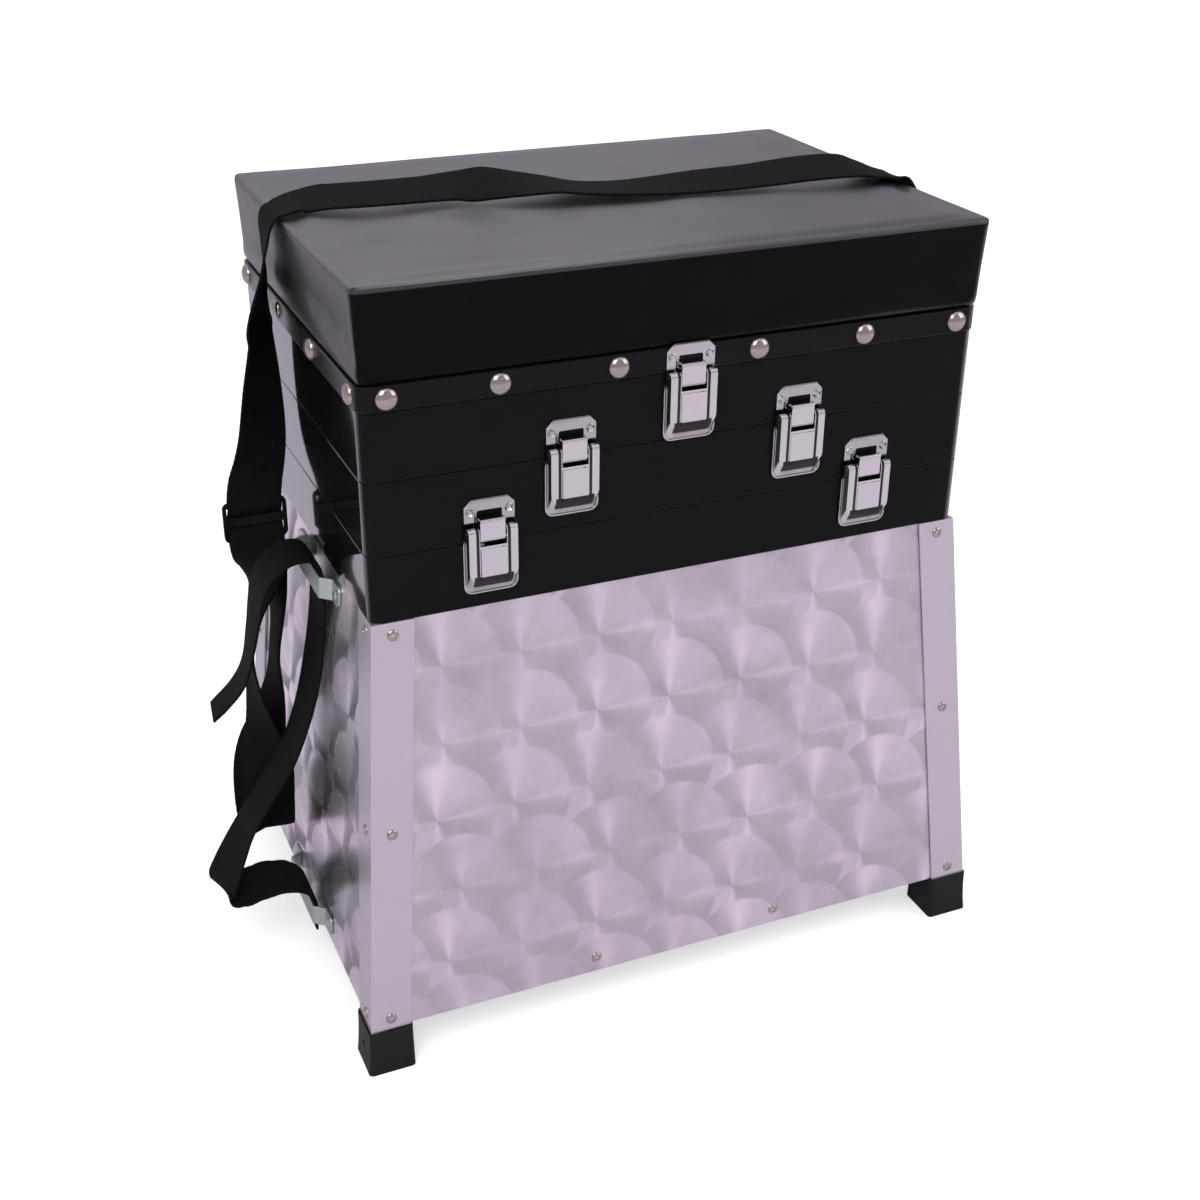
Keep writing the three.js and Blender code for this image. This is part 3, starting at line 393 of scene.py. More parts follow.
@dataclass(frozen=True)
class BrushedSheet(Finish):
    """Bare or plated sheet metal with fine lengthways lines, dull patches and small scratches."""

    lines: Triple = (40.0, 40.0, 900.0)
    wear: float = 0.25
    tones: Pair = (0.72, 1.18)

    def pattern(self, board: NodeBoard) -> dict[str, Signal]:
        """Fine lines and cloudy patches in tone and gloss."""
        at = board.node("ShaderNodeMapping", inputs={"Vector": board.place(), "Scale": self.lines})
        fine = board.grain(1.0, 3.0, 0.6, at)
        cloud = board.grain(24.0, 4.0, 0.65)
        worn = (fine * 0.5 + cloud * 0.5 - 0.5) * self.wear
        return self.driven(board, worn * 1.4 + 0.5, worn + self.roughness, board.bump(fine, 0.02 * MM, 0.35))


@dataclass(frozen=True)
class LatchChrome(BrushedSheet):
    """Chrome on one toggle latch, with painted shade standing in for dark reflections in its depths and in
    the groove round the lever's boss.

    Its soft edges are in mm: out from the wall, out from the boss's sides, down from the boss's foot,
    and for the catch up from the axle.
    """

    x: float = 0.0
    axle: float = 0.0
    wall: float = 155.0
    boss_half: float = 9.7
    boss_foot: float = 33.6
    lever_face: Pair = (4.5, 5.5)
    groove: tuple[Pair, Pair] = ((0.0, 0.3), (2.0, 2.5))
    groove_end: Pair = (1.0, 2.0)
    foot: tuple[Pair, Pair] = ((-3.2, -2.7), (6.2, 7.2))
    foot_side: Pair = (3.6, 4.6)
    depths: Pair = (0.4, 4.0)
    depths_dark: float = 0.30
    catch: tuple[Pair, Pair] = ((-5.0, -3.5), (4.6, 6.4))
    catch_dark: float = 0.85
    darkest: float = 0.03

    def pattern(self, board: NodeBoard) -> dict[str, Signal]:
        """Painted shade near the wall, on the catch, in the groove and on the boss's foot; plain chrome on
        the rims.
        """
        found = super().pattern(board)
        across, out, up = board.parts(board.place())
        beside = abs(across - self.x * MM) * TO_MM - self.boss_half
        below = (self.axle * MM - up) * TO_MM - self.boss_foot
        depth = out * -TO_MM - self.wall
        # Painted shade: the groove, the boss's foot with the lowest few mm of the boss, the depths near the
        # wall and the catch plate are darkened in the colour for the dark reflections that chrome shows
        # there.
        groove = beside.band(*self.groove) * (1.0 - below.ease(*self.groove_end))
        foot = below.band(*self.foot) * (1.0 - beside.ease(*self.foot_side))
        boss = ((groove + foot) * depth.ease(*self.lever_face)).held()
        catch = (up * TO_MM - self.axle).band(*self.catch) * self.catch_dark
        painted_depth_shade = (1.0 - depth.ease(*self.depths)) * (catch + self.depths_dark)
        painted_shade = (boss * 0.97 + painted_depth_shade).held()
        found["Base Color"] = board.mix(painted_shade, found["Base Color"], self.shade(self.darkest))
        return found


@dataclass(frozen=True)
class Lacquer(Finish):
    """Black lacquer or moulding: nearly even, with a slight ripple and faint rubbing."""

    ripple: float = 0.07 * MM
    rubbed: float = 0.10

    def pattern(self, board: NodeBoard) -> dict[str, Signal]:
        """Orange peel in the normal and rubbed haze in the gloss."""
        haze = board.grain(30.0, 5.0, 0.7)
        speck = board.grain(900.0)
        return self.driven(board, haze, (haze - 0.45) * self.rubbed + self.roughness,
                           board.bump(board.grain(70.0, 1.0) + speck * 0.02, self.ripple, 0.5))


@dataclass(frozen=True)
class Leatherette(Finish):
    """Black coated cloth: fine pebbled grain, a soft sheen and a polished rim."""

    pebble: float = 1300.0
    rim: Triple = (228.8, 160.4, 571.6)
    rim_width: float = 3.6
    rim_blur: float = 1.0
    tones: Pair = (0.6, 1.9)

    def gloss(self, board: NodeBoard, slant: Signal) -> Signal:
        """The coat also shows along the top rim, which rubbing has polished."""
        x, y, z = board.parts(board.place())
        side = abs(x) * TO_MM - self.rim[0]
        side = side.maths("MAXIMUM", side, abs(y) * TO_MM - self.rim[1])
        outer = side.ease(-self.rim_width - self.rim_blur, -self.rim_width)
        upper = (z * TO_MM - self.rim[2]).ease(-self.rim_width, self.rim_blur - self.rim_width)
        return (slant + outer * upper).held()

    def pattern(self, board: NodeBoard) -> dict[str, Signal]:
        """Pebbles between fine furrows, under broad soft ripples."""
        cell = board.node("ShaderNodeTexVoronoi", {"feature": "DISTANCE_TO_EDGE"},
                          {"Vector": board.place(), "Scale": self.pebble})
        pebbles = cell.ease(0.0, 0.35)
        broad = board.grain(38.0, 3.0, 0.55)
        return self.driven(board, pebbles * 0.5 + broad * 0.6 - 0.1,
                           self.roughness + (0.5 - broad) * 0.25 + (1.0 - pebbles) * 0.10,
                           board.bump(pebbles * 0.25 + broad * 1.2, 0.35 * MM, 0.55))


@dataclass(frozen=True)
class Webbing(Finish):
    """Black webbing: ribs in a herringbone that follows the strap's own UV map, in metres."""

    rib: float = 2.1 * MM
    column: float = 5.0 * MM
    yarn: float = 0.55 * MM
    slant: float = 0.9
    tones: Pair = (0.1, 4.4)

    def pattern(self, board: NodeBoard) -> dict[str, Signal]:
        """Slanting ribs that turn back at each column, with their crests painted lighter as a sheen."""
        across, run, _ = board.parts(board.node("ShaderNodeUVMap", {"uv_map": "weave"}))
        zigzag = abs((across / self.column).fraction() - 0.5) * 2.0
        rib = ((run / self.rib + zigzag * self.slant) * math.tau).sine() * 0.5 + 0.5
        yarn = ((across / self.yarn) * math.tau).sine() * 0.5 + 0.5
        height = rib * 0.75 + yarn * 0.25
        dust = board.grain(45.0, 4.0, 0.7)
        # The colour follows the rib height: the lighter crests are a painted sheen on the ribs, and the dust
        # is real tone.
        return self.driven(board, height * 0.85 + dust * 0.3 - 0.1, self.roughness - height * 0.10,
                           board.bump(height, 0.4 * MM, 0.8))


SHEET_TINT = (0.98, 0.925, 0.965)
FRONT_SHEET = EngineTurned("front_sheet", "swirled_aluminium", SHEET_TINT, 0.34, 0.85)
# The side sheets are the same metal with a lower level, painted a shade darker than the front, and a stronger
# painted swing and glint for the streaked reflections on the sides.
SIDE_SHEET = EngineTurned("side_sheet", "swirled_aluminium", SHEET_TINT, 0.26, 0.9, face=Face.SIDE,
                          first=(10 * MM, 22 * MM), level=0.53, painted_sheen_swing=0.32, glint=0.44)
PLAIN_SHEET = BrushedSheet("plain_sheet", "plain_aluminium", (0.67, 0.635, 0.665), 0.34, 0.85)
BLACK_GLOSS = Lacquer("black_gloss", "black_gloss", (0.004, 0.004, 0.0045), 0.10, specular=0.09, glance=1.0)
BLACK_SATIN = Lacquer("black_satin", "black_plastic", (0.005, 0.005, 0.0055), 0.28, specular=0.12, rubbed=0.2,
                      glance=0.5, glance_roughness=0.2)
BLACK_RUBBER = Lacquer("black_rubber", "black_rubber", (0.008, 0.008, 0.0085), 0.50, specular=0.2, rubbed=0.3)
COVER = Leatherette("leatherette", "leatherette", (0.0022, 0.0021, 0.0023), 0.38, specular=0.08, glance=0.8,
                    glance_roughness=0.30)
NICKEL = BrushedSheet("nickel", "nickel", (0.46, 0.415, 0.365), 0.10, 1.0, lines=(90.0, 90.0, 90.0),
                      wear=0.14)
ZINC = BrushedSheet("zinc", "zinc", (0.50, 0.58, 0.543), 0.30, 0.95, lines=(220.0, 220.0, 220.0), wear=0.34)
STRAP_CLOTH = Webbing("webbing", "webbing", (0.0034, 0.0033, 0.0034), 0.80, specular=0.08)


def new_object(name: str, data: bpy.types.ID) -> bpy.types.Object:
    """Put an object of this name and data in the scene."""
    made = bpy.data.objects.new(name, data)
    bpy.context.scene.collection.objects.link(made)
    return made


def finished(name: str, shape: Shape, finish: Finish, body: str,
             stands_for: Iterable[str] = (), smooth_below: float = 34.0) -> bpy.types.Object:
    """Args:
        name: the piece's name.
        shape: its mesh, which is used up.
        finish: its surface.
        body: the CAD body that it moves with.
        stands_for: the CAD nodes that it replaces.
        smooth_below: edges flatter than this many degrees look smooth.

    Returns:
        The new object.
    """
    mesh = bpy.data.meshes.new(name)
    shape.to_mesh(mesh)
    shape.free()
    mesh.materials.append(finish.material())
    mesh.shade_smooth()
    mesh.set_sharp_from_angle(angle=math.radians(smooth_below))
    piece = new_object(name, mesh)
    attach(piece, body)
    if stands_for:
        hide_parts(*stands_for)
    log.info("piece %s: %d faces", name, len(mesh.polygons))
    return piece


def painted(node: str, finish: Finish) -> None:
    """Give a CAD node its finish and leave its mesh as it is.

    Args:
        node: the CAD node.
        finish: its surface.
    """
    piece = frame["nodes"][node]
    piece.data.materials.clear()
    piece.data.materials.append(finish.material())
    log.info("node %s painted", node)


def bevelled(shape: Shape, edges: list[bmesh.types.BMEdge], width: float, segments: int,
             clamp: bool = False) -> None:
    """Round edges off to a width in mm, held back where two would meet if clamp is set."""
    bmesh.ops.bevel(shape, geom=edges, offset=width * MM, offset_type="OFFSET", affect="EDGES",
                    segments=segments, profile=0.5, material=-1, clamp_overlap=clamp)


def refined(node: str, finish: Finish, edge: float, segments: int = 2, sharp: float = 24.0) -> None:
    """Stand a copy with broken edges in a CAD node's place.

    Args:
        node: the CAD node.
        finish: its surface.
        edge: how wide the broken edges are, in mm.
        segments: faces across each.
        sharp: edges turned by more than this many degrees are broken.
    """
    source = frame["nodes"][node]
    shape = bmesh.new()
    shape.from_mesh(source.data)
    bmesh.ops.remove_doubles(shape, verts=shape.verts, dist=WELD)
    bmesh.ops.dissolve_limit(shape, angle_limit=math.radians(0.6), verts=shape.verts, edges=shape.edges)
    edges = [e for e in shape.edges if e.is_manifold and e.calc_face_angle(0.0) > math.radians(sharp)]
    bevelled(shape, edges, edge, segments, clamp=True)
    evened(finished(f"{node}_dressed", shape, finish, source["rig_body"], [node]))


def evened(piece: bpy.types.Object) -> None:
    """Keep the shading of large flat faces flat beside their broken edges."""
    weighted = piece.modifiers.new("even_shading", "WEIGHTED_NORMAL")
    weighted.keep_sharp = True


def along(axis: Vector, pole: str = "Z") -> Matrix:
    """A turn that stands an object's pole along a direction."""
    return axis.to_track_quat(pole, "Y").to_matrix().to_4x4()


def lathed(profile: Sequence[Pair], steps: int) -> Shape:
    """Spin a profile round the Z axis.

    Args:
        profile: radius and height of each point in mm, from the rim to the middle.
        steps: facets round the axis.

    Returns:
        The turned shape, closed at its foot.
    """
    shape = bmesh.new()
    row = [shape.verts.new((r * MM, 0.0, h * MM)) for r, h in profile]
    edges = [shape.edges.new(pair) for pair in zip(row, row[1:])]
    bmesh.ops.spin(shape, geom=row + edges, cent=(0, 0, 0), axis=(0, 0, 1), angle=math.tau, steps=steps,
                   use_merge=True)
    bmesh.ops.remove_doubles(shape, verts=shape.verts, dist=WELD / 2)
    foot = [e for e in shape.edges if e.is_boundary]
    bmesh.ops.edgeloop_fill(shape, edges=foot)
    bmesh.ops.recalc_face_normals(shape, faces=shape.faces)
    return shape


def scattered(model: Shape, places: Sequence[tuple[Vector, Vector]]) -> Shape:
    """Join copies of a model, each moved to a place and turned along its direction.

    Args:
        model: the shape to copy, which is used up.
        places: where each goes and which way its +Z points.

    Returns:
        All the copies in one mesh.
    """
    mould = bpy.data.meshes.new("mould")
    model.to_mesh(mould)
    model.free()
    shape = bmesh.new()
    for place, way in places:
        start = len(shape.verts)
        shape.from_mesh(mould)
        shape.verts.ensure_lookup_table()
        bmesh.ops.transform(shape, matrix=Matrix.Translation(place) @ along(way), verts=shape.verts[start:])
    bpy.data.meshes.remove(mould)
    return shape


@dataclass
class MetalBody:
    """The leaning body: four engine-turned sheets, plain corner angles, rubber feet and pop rivets.

    Its sizes across are pairs: along x and along y.
    """

    top_size: Pair = (450.0, 310.0)
    foot_size: Pair = (503.0, 375.0)
    foot: float = 36.0
    top: float = 346.0
    angle_edge: float = 0.35
    foot_edge: float = 1.2
    rivet_levels: tuple[float, ...] = (45.0, 191.0, 336.7)
    front_inset: float = 15.0
    side_inset: float = 13.0
    panel_rivet_x: float = 75.0
    panel_rivet_z: float = 48.0
    panel_depth: float = 1.9

    def half(self, axis: int, z: float) -> float:
        """Half the body's size along x (0) or y (1) at a height, in mm."""
        top, foot = self.top_size[axis] / 2, self.foot_size[axis] / 2
        return top + (foot - top) * (self.top - z) / (self.top - self.foot)

    def lean(self, axis: int) -> float:
        """How far the sheets that face along x (0) or y (1) lean from upright, in radians."""
        return math.atan2(self.half(axis, self.foot) - self.half(axis, self.top), self.top - self.foot)

    def rivet_places(self) -> list[tuple[Vector, Vector]]:
        """Where the pop rivets sit and which way they face."""
        places = []
        for end in SIDES:
            front = Vector((0, end * math.cos(self.lean(1)), math.sin(self.lean(1))))
            side = Vector((end * math.cos(self.lean(0)), 0, math.sin(self.lean(0))))
            for other in SIDES:
                for z in self.rivet_levels:
                    x = other * (self.half(0, z) - self.front_inset)
                    places.append((Vector((x, end * self.half(1, z), z)) * MM, front))
                    y = other * (self.half(1, z) - self.side_inset)
                    places.append((Vector((end * self.half(0, z), y, z)) * MM, side))
                low = self.panel_rivet_z
                at = Vector((other * self.panel_rivet_x, end * self.half(1, low), low))
                places.append(((at - front * self.panel_depth) * MM, front))
        return places

    def build(self) -> None:
        """Paint the sheets, break the edges of angles and feet, and set the rivets."""
        for node in ("front_panel", "rear_panel"):
            painted(node, FRONT_SHEET)
        for node in ("left_panel", "right_panel"):
            painted(node, SIDE_SHEET)
        painted("floor_pan", PLAIN_SHEET)
        for corner in CORNERS:
            refined(f"corner_angle_{corner}", PLAIN_SHEET, self.angle_edge)
            refined(f"foot_{corner}", BLACK_RUBBER, self.foot_edge, 3)
        head = lathed([(4.0, -0.3), (4.05, 0.25), (3.75, 0.75), (2.9, 1.2), (2.1, 1.4), (1.65, 1.35),
                       (1.5, 1.0), (1.4, 0.2), (0.9, 0.1), (0.0, 0.35)], 24)
        finished("pop_rivets", scattered(head, self.rivet_places()), NICKEL, "base", smooth_below=50.0)


@dataclass
class BlackStack:
    """The black base section and the two black trays above it."""

    edge: float = 0.7

    def build(self) -> None:
        """Stand the three with broken edges."""
        for node in ("base_section", "lower_tray", "upper_tray"):
            refined(node, BLACK_GLOSS, self.edge, 3)


def runs_along(edge: bmesh.types.BMEdge, axis: int) -> bool:
    """Whether an edge runs along an axis."""
    return abs((edge.verts[0].co - edge.verts[1].co).normalized()[axis]) > 0.9


@dataclass
class Lid:
    """The lid: a black edged board with bright domed nails and the padded seat on top."""

    half_x: float = 226.0
    half_y: float = 156.0
    low: float = 492.0
    high: float = 509.0
    corner: float = 11.0
    rim: float = 0.9
    nail_level: float = 500.5
    front_nails: tuple[float, ...] = (51.0, 132.7, 207.0)
    rear_nails: tuple[float, ...] = (207.0,)
    side_nails: tuple[float, ...] = (46.5, 138.4)
    nail_radius: float = 7.5
    nail_height: float = 4.0
    nail_sunk: float = 0.3
    nail_rings: int = 10

    def board(self) -> None:
        """The edged board, in the place of the CAD band and board."""
        shape = bmesh.new()
        bmesh.ops.create_cube(shape, size=2.0)
        half = Vector((self.half_x, self.half_y, (self.high - self.low) / 2)) * MM
        bmesh.ops.scale(shape, vec=half, verts=shape.verts)
        bmesh.ops.translate(shape, vec=(0, 0, (self.high + self.low) / 2 * MM), verts=shape.verts)
        bevelled(shape, [e for e in shape.edges if runs_along(e, 2)], self.corner, 10)
        rims = [e for e in shape.edges if e.calc_face_angle(0.0) > math.radians(60)]
        bevelled(shape, rims, self.rim, 3)
        evened(finished("edged_board", shape, BLACK_SATIN, "lid", ["edging_band", "lid_board"]))

    def nails(self) -> None:
        """Bright domed nails round the band, where the CAD model has them."""
        places = []
        for end in SIDES:
            for row, face_y in ((self.front_nails, -self.half_y), (self.rear_nails, self.half_y)):
                places += [(Vector((end * x, face_y, self.nail_level)) * MM,
                            Vector((0, math.copysign(1, face_y), 0))) for x in row]
            for y in self.side_nails:
                places += [(Vector((side * self.half_x, end * y, self.nail_level)) * MM, Vector((side, 0, 0)))
                           for side in SIDES]
        turns = [math.tau / 4 * ring / self.nail_rings for ring in range(self.nail_rings)]
        dome = [(self.nail_radius * math.cos(a), self.nail_height * math.sin(a)) for a in turns]
        profile = [(self.nail_radius, -self.nail_sunk), *dome, (0.0, self.nail_height)]
        finished("domed_nails", scattered(lathed(profile, 40), places), NICKEL, "lid", smooth_below=60.0)

    def build(self) -> None:
        """Build the board, its nails and the seat."""
        self.board()
        self.nails()
        Seat().build()


@dataclass
class Seat:
    """The padded seat: stuffed in Blender's cloth, with a crisp rim and sides that draw in downwards."""

    low: float = 509.4
    high: float = 571.2
    half_x: float = 226.4
    half_y: float = 157.0
    spacing: float = 6.0
    pressure: float = 4.0
    frames: int = 20
    cap: float = 1.8
    crown_fade: float = 9.0
    flare: Pair = (2.2, 3.4)
    drawn: float = 1.8
    ridge: float = 0.9
    corner_pull: float = 1.6
    uneven_top: float = 0.9
    uneven_side: float = 0.8
    pucker_from: float = 0.8
    edge: float = 0.999

    def squares(self) -> Shape:
        """A box round its own middle, in mm, cut into squares."""
        half = Vector((self.half_x, self.half_y, (self.high - self.low) / 2))
        shape = bmesh.new()
        bmesh.ops.create_cube(shape, size=2.0)
        for axis in range(3):
            edges = [e for e in shape.edges if runs_along(e, axis)]
            cuts = int(2 * half[axis] / self.spacing) - 1
            bmesh.ops.subdivide_edges(shape, edges=edges, cuts=cuts, use_grid_fill=True)
        bmesh.ops.scale(shape, vec=half, verts=shape.verts)
        return shape

    def stuffed(self, shape: Shape) -> list[Vector]:
        """Press the cover outwards as its stuffing does, with its underside held.

        Args:
            shape: the box, which stays as it is.

        Returns:
            How far each of its points moves, in mm.
        """
        mesh = bpy.data.meshes.new("cover")
        shape.to_mesh(mesh)
        mesh.transform(Matrix.Scale(MM, 4))
        cover = new_object("cover", mesh)
        foot = min(v.co.z for v in mesh.vertices) + WELD
        held = cover.vertex_groups.new(name="held")
        held.add([v.index for v in mesh.vertices if v.co.z < foot], 1.0, "REPLACE")
        cloth = cover.modifiers.new("cloth", "CLOTH")
        settings = cloth.settings
        settings.vertex_group_mass, settings.use_pressure = "held", True
        settings.uniform_pressure_force = self.pressure
        settings.effector_weights.gravity = 0.0
        cloth.point_cache.frame_start, cloth.point_cache.frame_end = 1, self.frames
        scene = bpy.context.scene
        for step in range(1, self.frames + 1):
            scene.frame_set(step)
        blown = cover.evaluated_get(bpy.context.evaluated_depsgraph_get()).data
        moves = [(b.co - a.co) / MM for a, b in zip(mesh.vertices, blown.vertices)]
        bpy.data.objects.remove(cover)
        bpy.data.meshes.remove(mesh)
        scene.frame_set(1)
        log.info("cover stuffed: %d points, furthest %.2f mm", len(moves), max(m.length for m in moves))
        return moves

    def shaped(self, at: Vector, move: Vector) -> Vector:
        """Add the pull at the underside, the fold along the rim and a slight unevenness.

        Args:
            at: a point's place on the box, in mm.
            move: how far the cloth moved it.

        Returns:
            Its place on the seat.
        """
        shares = (at.x / self.half_x, at.y / self.half_y)
        near = max(abs(share) for share in shares)
        rise = (at.z - (self.low - self.high) / 2) / (self.high - self.low)
        side = Vector([math.copysign(abs(share) > self.edge, share) for share in shares] + [0])
        moved = Vector(self.cap * math.tanh(m / self.cap) for m in move)
        moved.z *= min(1.0, (1 - near) * self.crown_fade)
        slant, pull = rise ** 0.8, self.drawn * (1 - rise) ** 3
        flared = [share * (flare * slant - pull) for share, flare in zip(shares, self.flare)]
        out = at + moved + Vector((*flared, 0.0))
        if rise > self.edge and near > self.edge:
            out += side * (self.ridge / 2)
            out.z += self.ridge
        if side.x and side.y:
            out -= side * self.corner_pull
        soft = noise.noise(Vector((at.x / 52, at.y / 44, at.z / 30 + 3)))
        if rise > self.edge:
            pucker = noise.noise(Vector((at.x / 17, at.y / 17, at.z / 60 + 9)))
            pucker *= max(0.0, near - self.pucker_from)
            out.z += (soft * self.uneven_top + pucker) * (1 - near ** 6)
        elif rise > 1 - self.edge:
            sway = soft * self.uneven_side * (1 - rise ** 4)
            out += Vector((abs(side.x), abs(side.y), 0.0)) * sway
        return out

    def build(self) -> None:
        """Make the seat and set it on the board."""
        shape = self.squares()
        moves = self.stuffed(shape)
        for vert, move in zip(list(shape.verts), moves):
            vert.co = self.shaped(vert.co, move)
        bmesh.ops.scale(shape, vec=(MM, MM, MM), verts=shape.verts)
        bmesh.ops.translate(shape, vec=(0, 0, (self.low + self.high) / 2 * MM), verts=shape.verts)
        seat = finished("padded_seat", shape, COVER, "lid", ["seat_cushion"], 80.0)
        rounding = seat.modifiers.new("rounding", "SUBSURF")
        rounding.levels = rounding.render_levels = 1


@dataclass
class Latch:
    """One toggle latch: catch, base plate, lever and hook."""

    name: str
    x: float
    axle: float
    edge: float = 0.16
    sharp: float = 20.0

    def build(self) -> None:
        """Stand its four pieces with broken edges."""
        chrome = LatchChrome(f"{self.name}_chrome", "chrome", (0.72, 0.715, 0.70), 0.12, 1.0,
                             lines=(300.0, 300.0, 60.0), wear=0.16, x=self.x, axle=self.axle)
        for part in ("catch", "base_plate", "lever", "hook"):
            refined(f"{self.name}_{part}", chrome, self.edge, sharp=self.sharp)


@dataclass
class Hinge:
    """One long rear hinge of two leaves."""

    name: str
    edge: float = 0.2

    def build(self) -> None:
        """Stand its leaves with broken edges."""
        for part in ("fixed_leaf", "moving_leaf"):
            refined(f"{self.name}_{part}", BLACK_GLOSS, self.edge, 1)


@dataclass
class Bracket:
    """One strap bracket, a bent zinc-plated strip on a side panel."""

    node: str
    edge: float = 0.35
    sharp: float = 18.0

    def build(self) -> None:
        """Stand it with broken edges."""
        refined(self.node, ZINC, self.edge, sharp=self.sharp)


@dataclass(frozen=True)
class Station:
    """A place on a strap's route: its middle and the way across it."""

    at: Vector
    across: Vector


def level_station(x: float, y: float, z: float, degrees: float) -> Station:
    """A place whose strap lies across a level direction, turned from the x axis; lengths in mm."""
    angle = math.radians(degrees)
    return Station(Vector((x, y, z)) * MM, Vector((math.cos(angle), math.sin(angle), 0)))


def mirrored(station: Station, shift: float) -> Station:
    """The same place on the other side of the box, moved back or forward by shift mm."""
    at, across = station.at, station.across
    return Station(Vector((-at.x, at.y + shift * MM, at.z)), Vector((-across.x, across.y, across.z)))


@dataclass(frozen=True)
class Route:
    """A smooth run through stations: a spline that is cut finely and walked in even steps."""

    stations: Sequence[Station]
    cuts: int = 24

    def around(self, values: Sequence[Vector], index: int) -> list[Vector]:
        """The values before, at, after and two after an index, carried on past the ends."""
        return [values[0] * 2 - values[1], *values, values[-1] * 2 - values[-2]][index:index + 4]

    def centre(self, index: int, share: float) -> Vector:
        """Find the middle of the strap between two stations, on a centripetal spline.

        Args:
            index: the first of the two.
            share: how far on towards the second, from 0 to 1.

        Returns:
            The point.
        """
        p0, p1, p2, p3 = self.around([s.at for s in self.stations], index)
        d0, d1, d2 = (max(1e-6, (b - a).length ** 0.5) for a, b in ((p0, p1), (p1, p2), (p2, p3)))
        t1 = ((p1 - p0) / d0 - (p2 - p0) / (d0 + d1) + (p2 - p1) / d1) * d1
        t2 = ((p2 - p1) / d1 - (p3 - p1) / (d1 + d2) + (p3 - p2) / d2) * d1
        return self.cubic(p1, p2, t1, t2, share)

    def way(self, index: int, share: float) -> Vector:
        """The direction across the strap between two stations."""
        p0, p1, p2, p3 = self.around([s.across for s in self.stations], index)
        return self.cubic(p1, p2, (p2 - p0) / 2, (p3 - p1) / 2, share)

    @staticmethod
    def cubic(p1: Vector, p2: Vector, t1: Vector, t2: Vector, share: float) -> Vector:
        """A cubic through two points with a slope at each."""
        return (p1 + t1 * share + (p2 * 3 - p1 * 3 - t1 * 2 - t2) * share ** 2
                + (p1 * 2 - p2 * 2 + t1 + t2) * share ** 3)

    def rows(self, spacing: float) -> list[tuple[Vector, Vector, float]]:
        """Walk the route in even steps.

        Args:
            spacing: the step, in metres.

        Returns:
            For each step its middle, the way across and the length so far.
        """
        fine = []
        for index in range(len(self.stations) - 1):
            fine += [(self.centre(index, s / self.cuts), self.way(index, s / self.cuts))
                     for s in range(self.cuts)]
        fine.append((self.stations[-1].at, self.stations[-1].across))
        lengths = [0.0]
        for (a, _), (b, _) in zip(fine, fine[1:]):
            lengths.append(lengths[-1] + (b - a).length)
        count = max(2, round(lengths[-1] / spacing))
        rows, k = [], 0
        for step in range(count + 1):
            want = lengths[-1] * step / count
            while k < len(fine) - 2 and lengths[k + 1] < want:
                k += 1
            share = (want - lengths[k]) / max(1e-9, lengths[k + 1] - lengths[k])
            at = fine[k][0].lerp(fine[k + 1][0], share)
            tangent = (fine[k + 1][0] - fine[k][0]).normalized()
            across = fine[k][1].lerp(fine[k + 1][1], share)
            across = (across - tangent * across.dot(tangent)).normalized()
            rows.append((at, across, want))
        return rows


@dataclass
class Strap:
    """A length of webbing along a route."""

    name: str
    stations: list[Station]
    body: str
    end: str
    stands_for: Sequence[str] = ()
    carries: Sequence[str] = ()
    width: float = 40.0
    thickness: float = 1.8
    spacing: float = 2.5
    columns: int = 8
    tooth: float = 0.18
    selvedge: float = 0.5

    def build(self) -> None:
        rows = Route(self.stations).rows(self.spacing * MM)
        shape = bmesh.new()
        weave = shape.loops.layers.uv.new("weave")
        bmesh.ops.create_grid(shape, x_segments=self.columns, y_segments=len(rows) - 1, size=1.0)
        half = self.width / 2 * MM
        spots: dict[bmesh.types.BMVert, Pair] = {}
        for vert in shape.verts:
            share, row = vert.co.x, round((vert.co.y + 1) / 2 * (len(rows) - 1))
            at, across, run = rows[row]
            reach = half - self.tooth * MM * (row % 2) * (abs(share) > 0.99)
            vert.co = at + across * share * reach
            spots[vert] = (share * half, run)
        for loop in (loop for poly in shape.faces for loop in poly.loops):
            loop[weave].uv = spots[loop.vert]
        bmesh.ops.recalc_face_normals(shape, faces=shape.faces)
        piece = finished(self.name, shape, STRAP_CLOTH, self.body, self.stands_for, 60.0)
        thicken = piece.modifiers.new("thickness", "SOLIDIFY")
        thicken.thickness, thicken.offset = self.thickness * MM, 0.0
        thicken.use_even_offset = False
        rounding = piece.modifiers.new("selvedge", "BEVEL")
        rounding.width, rounding.segments = self.selvedge * MM, 2
        rounding.angle_limit = math.radians(60)
        self.width * MM


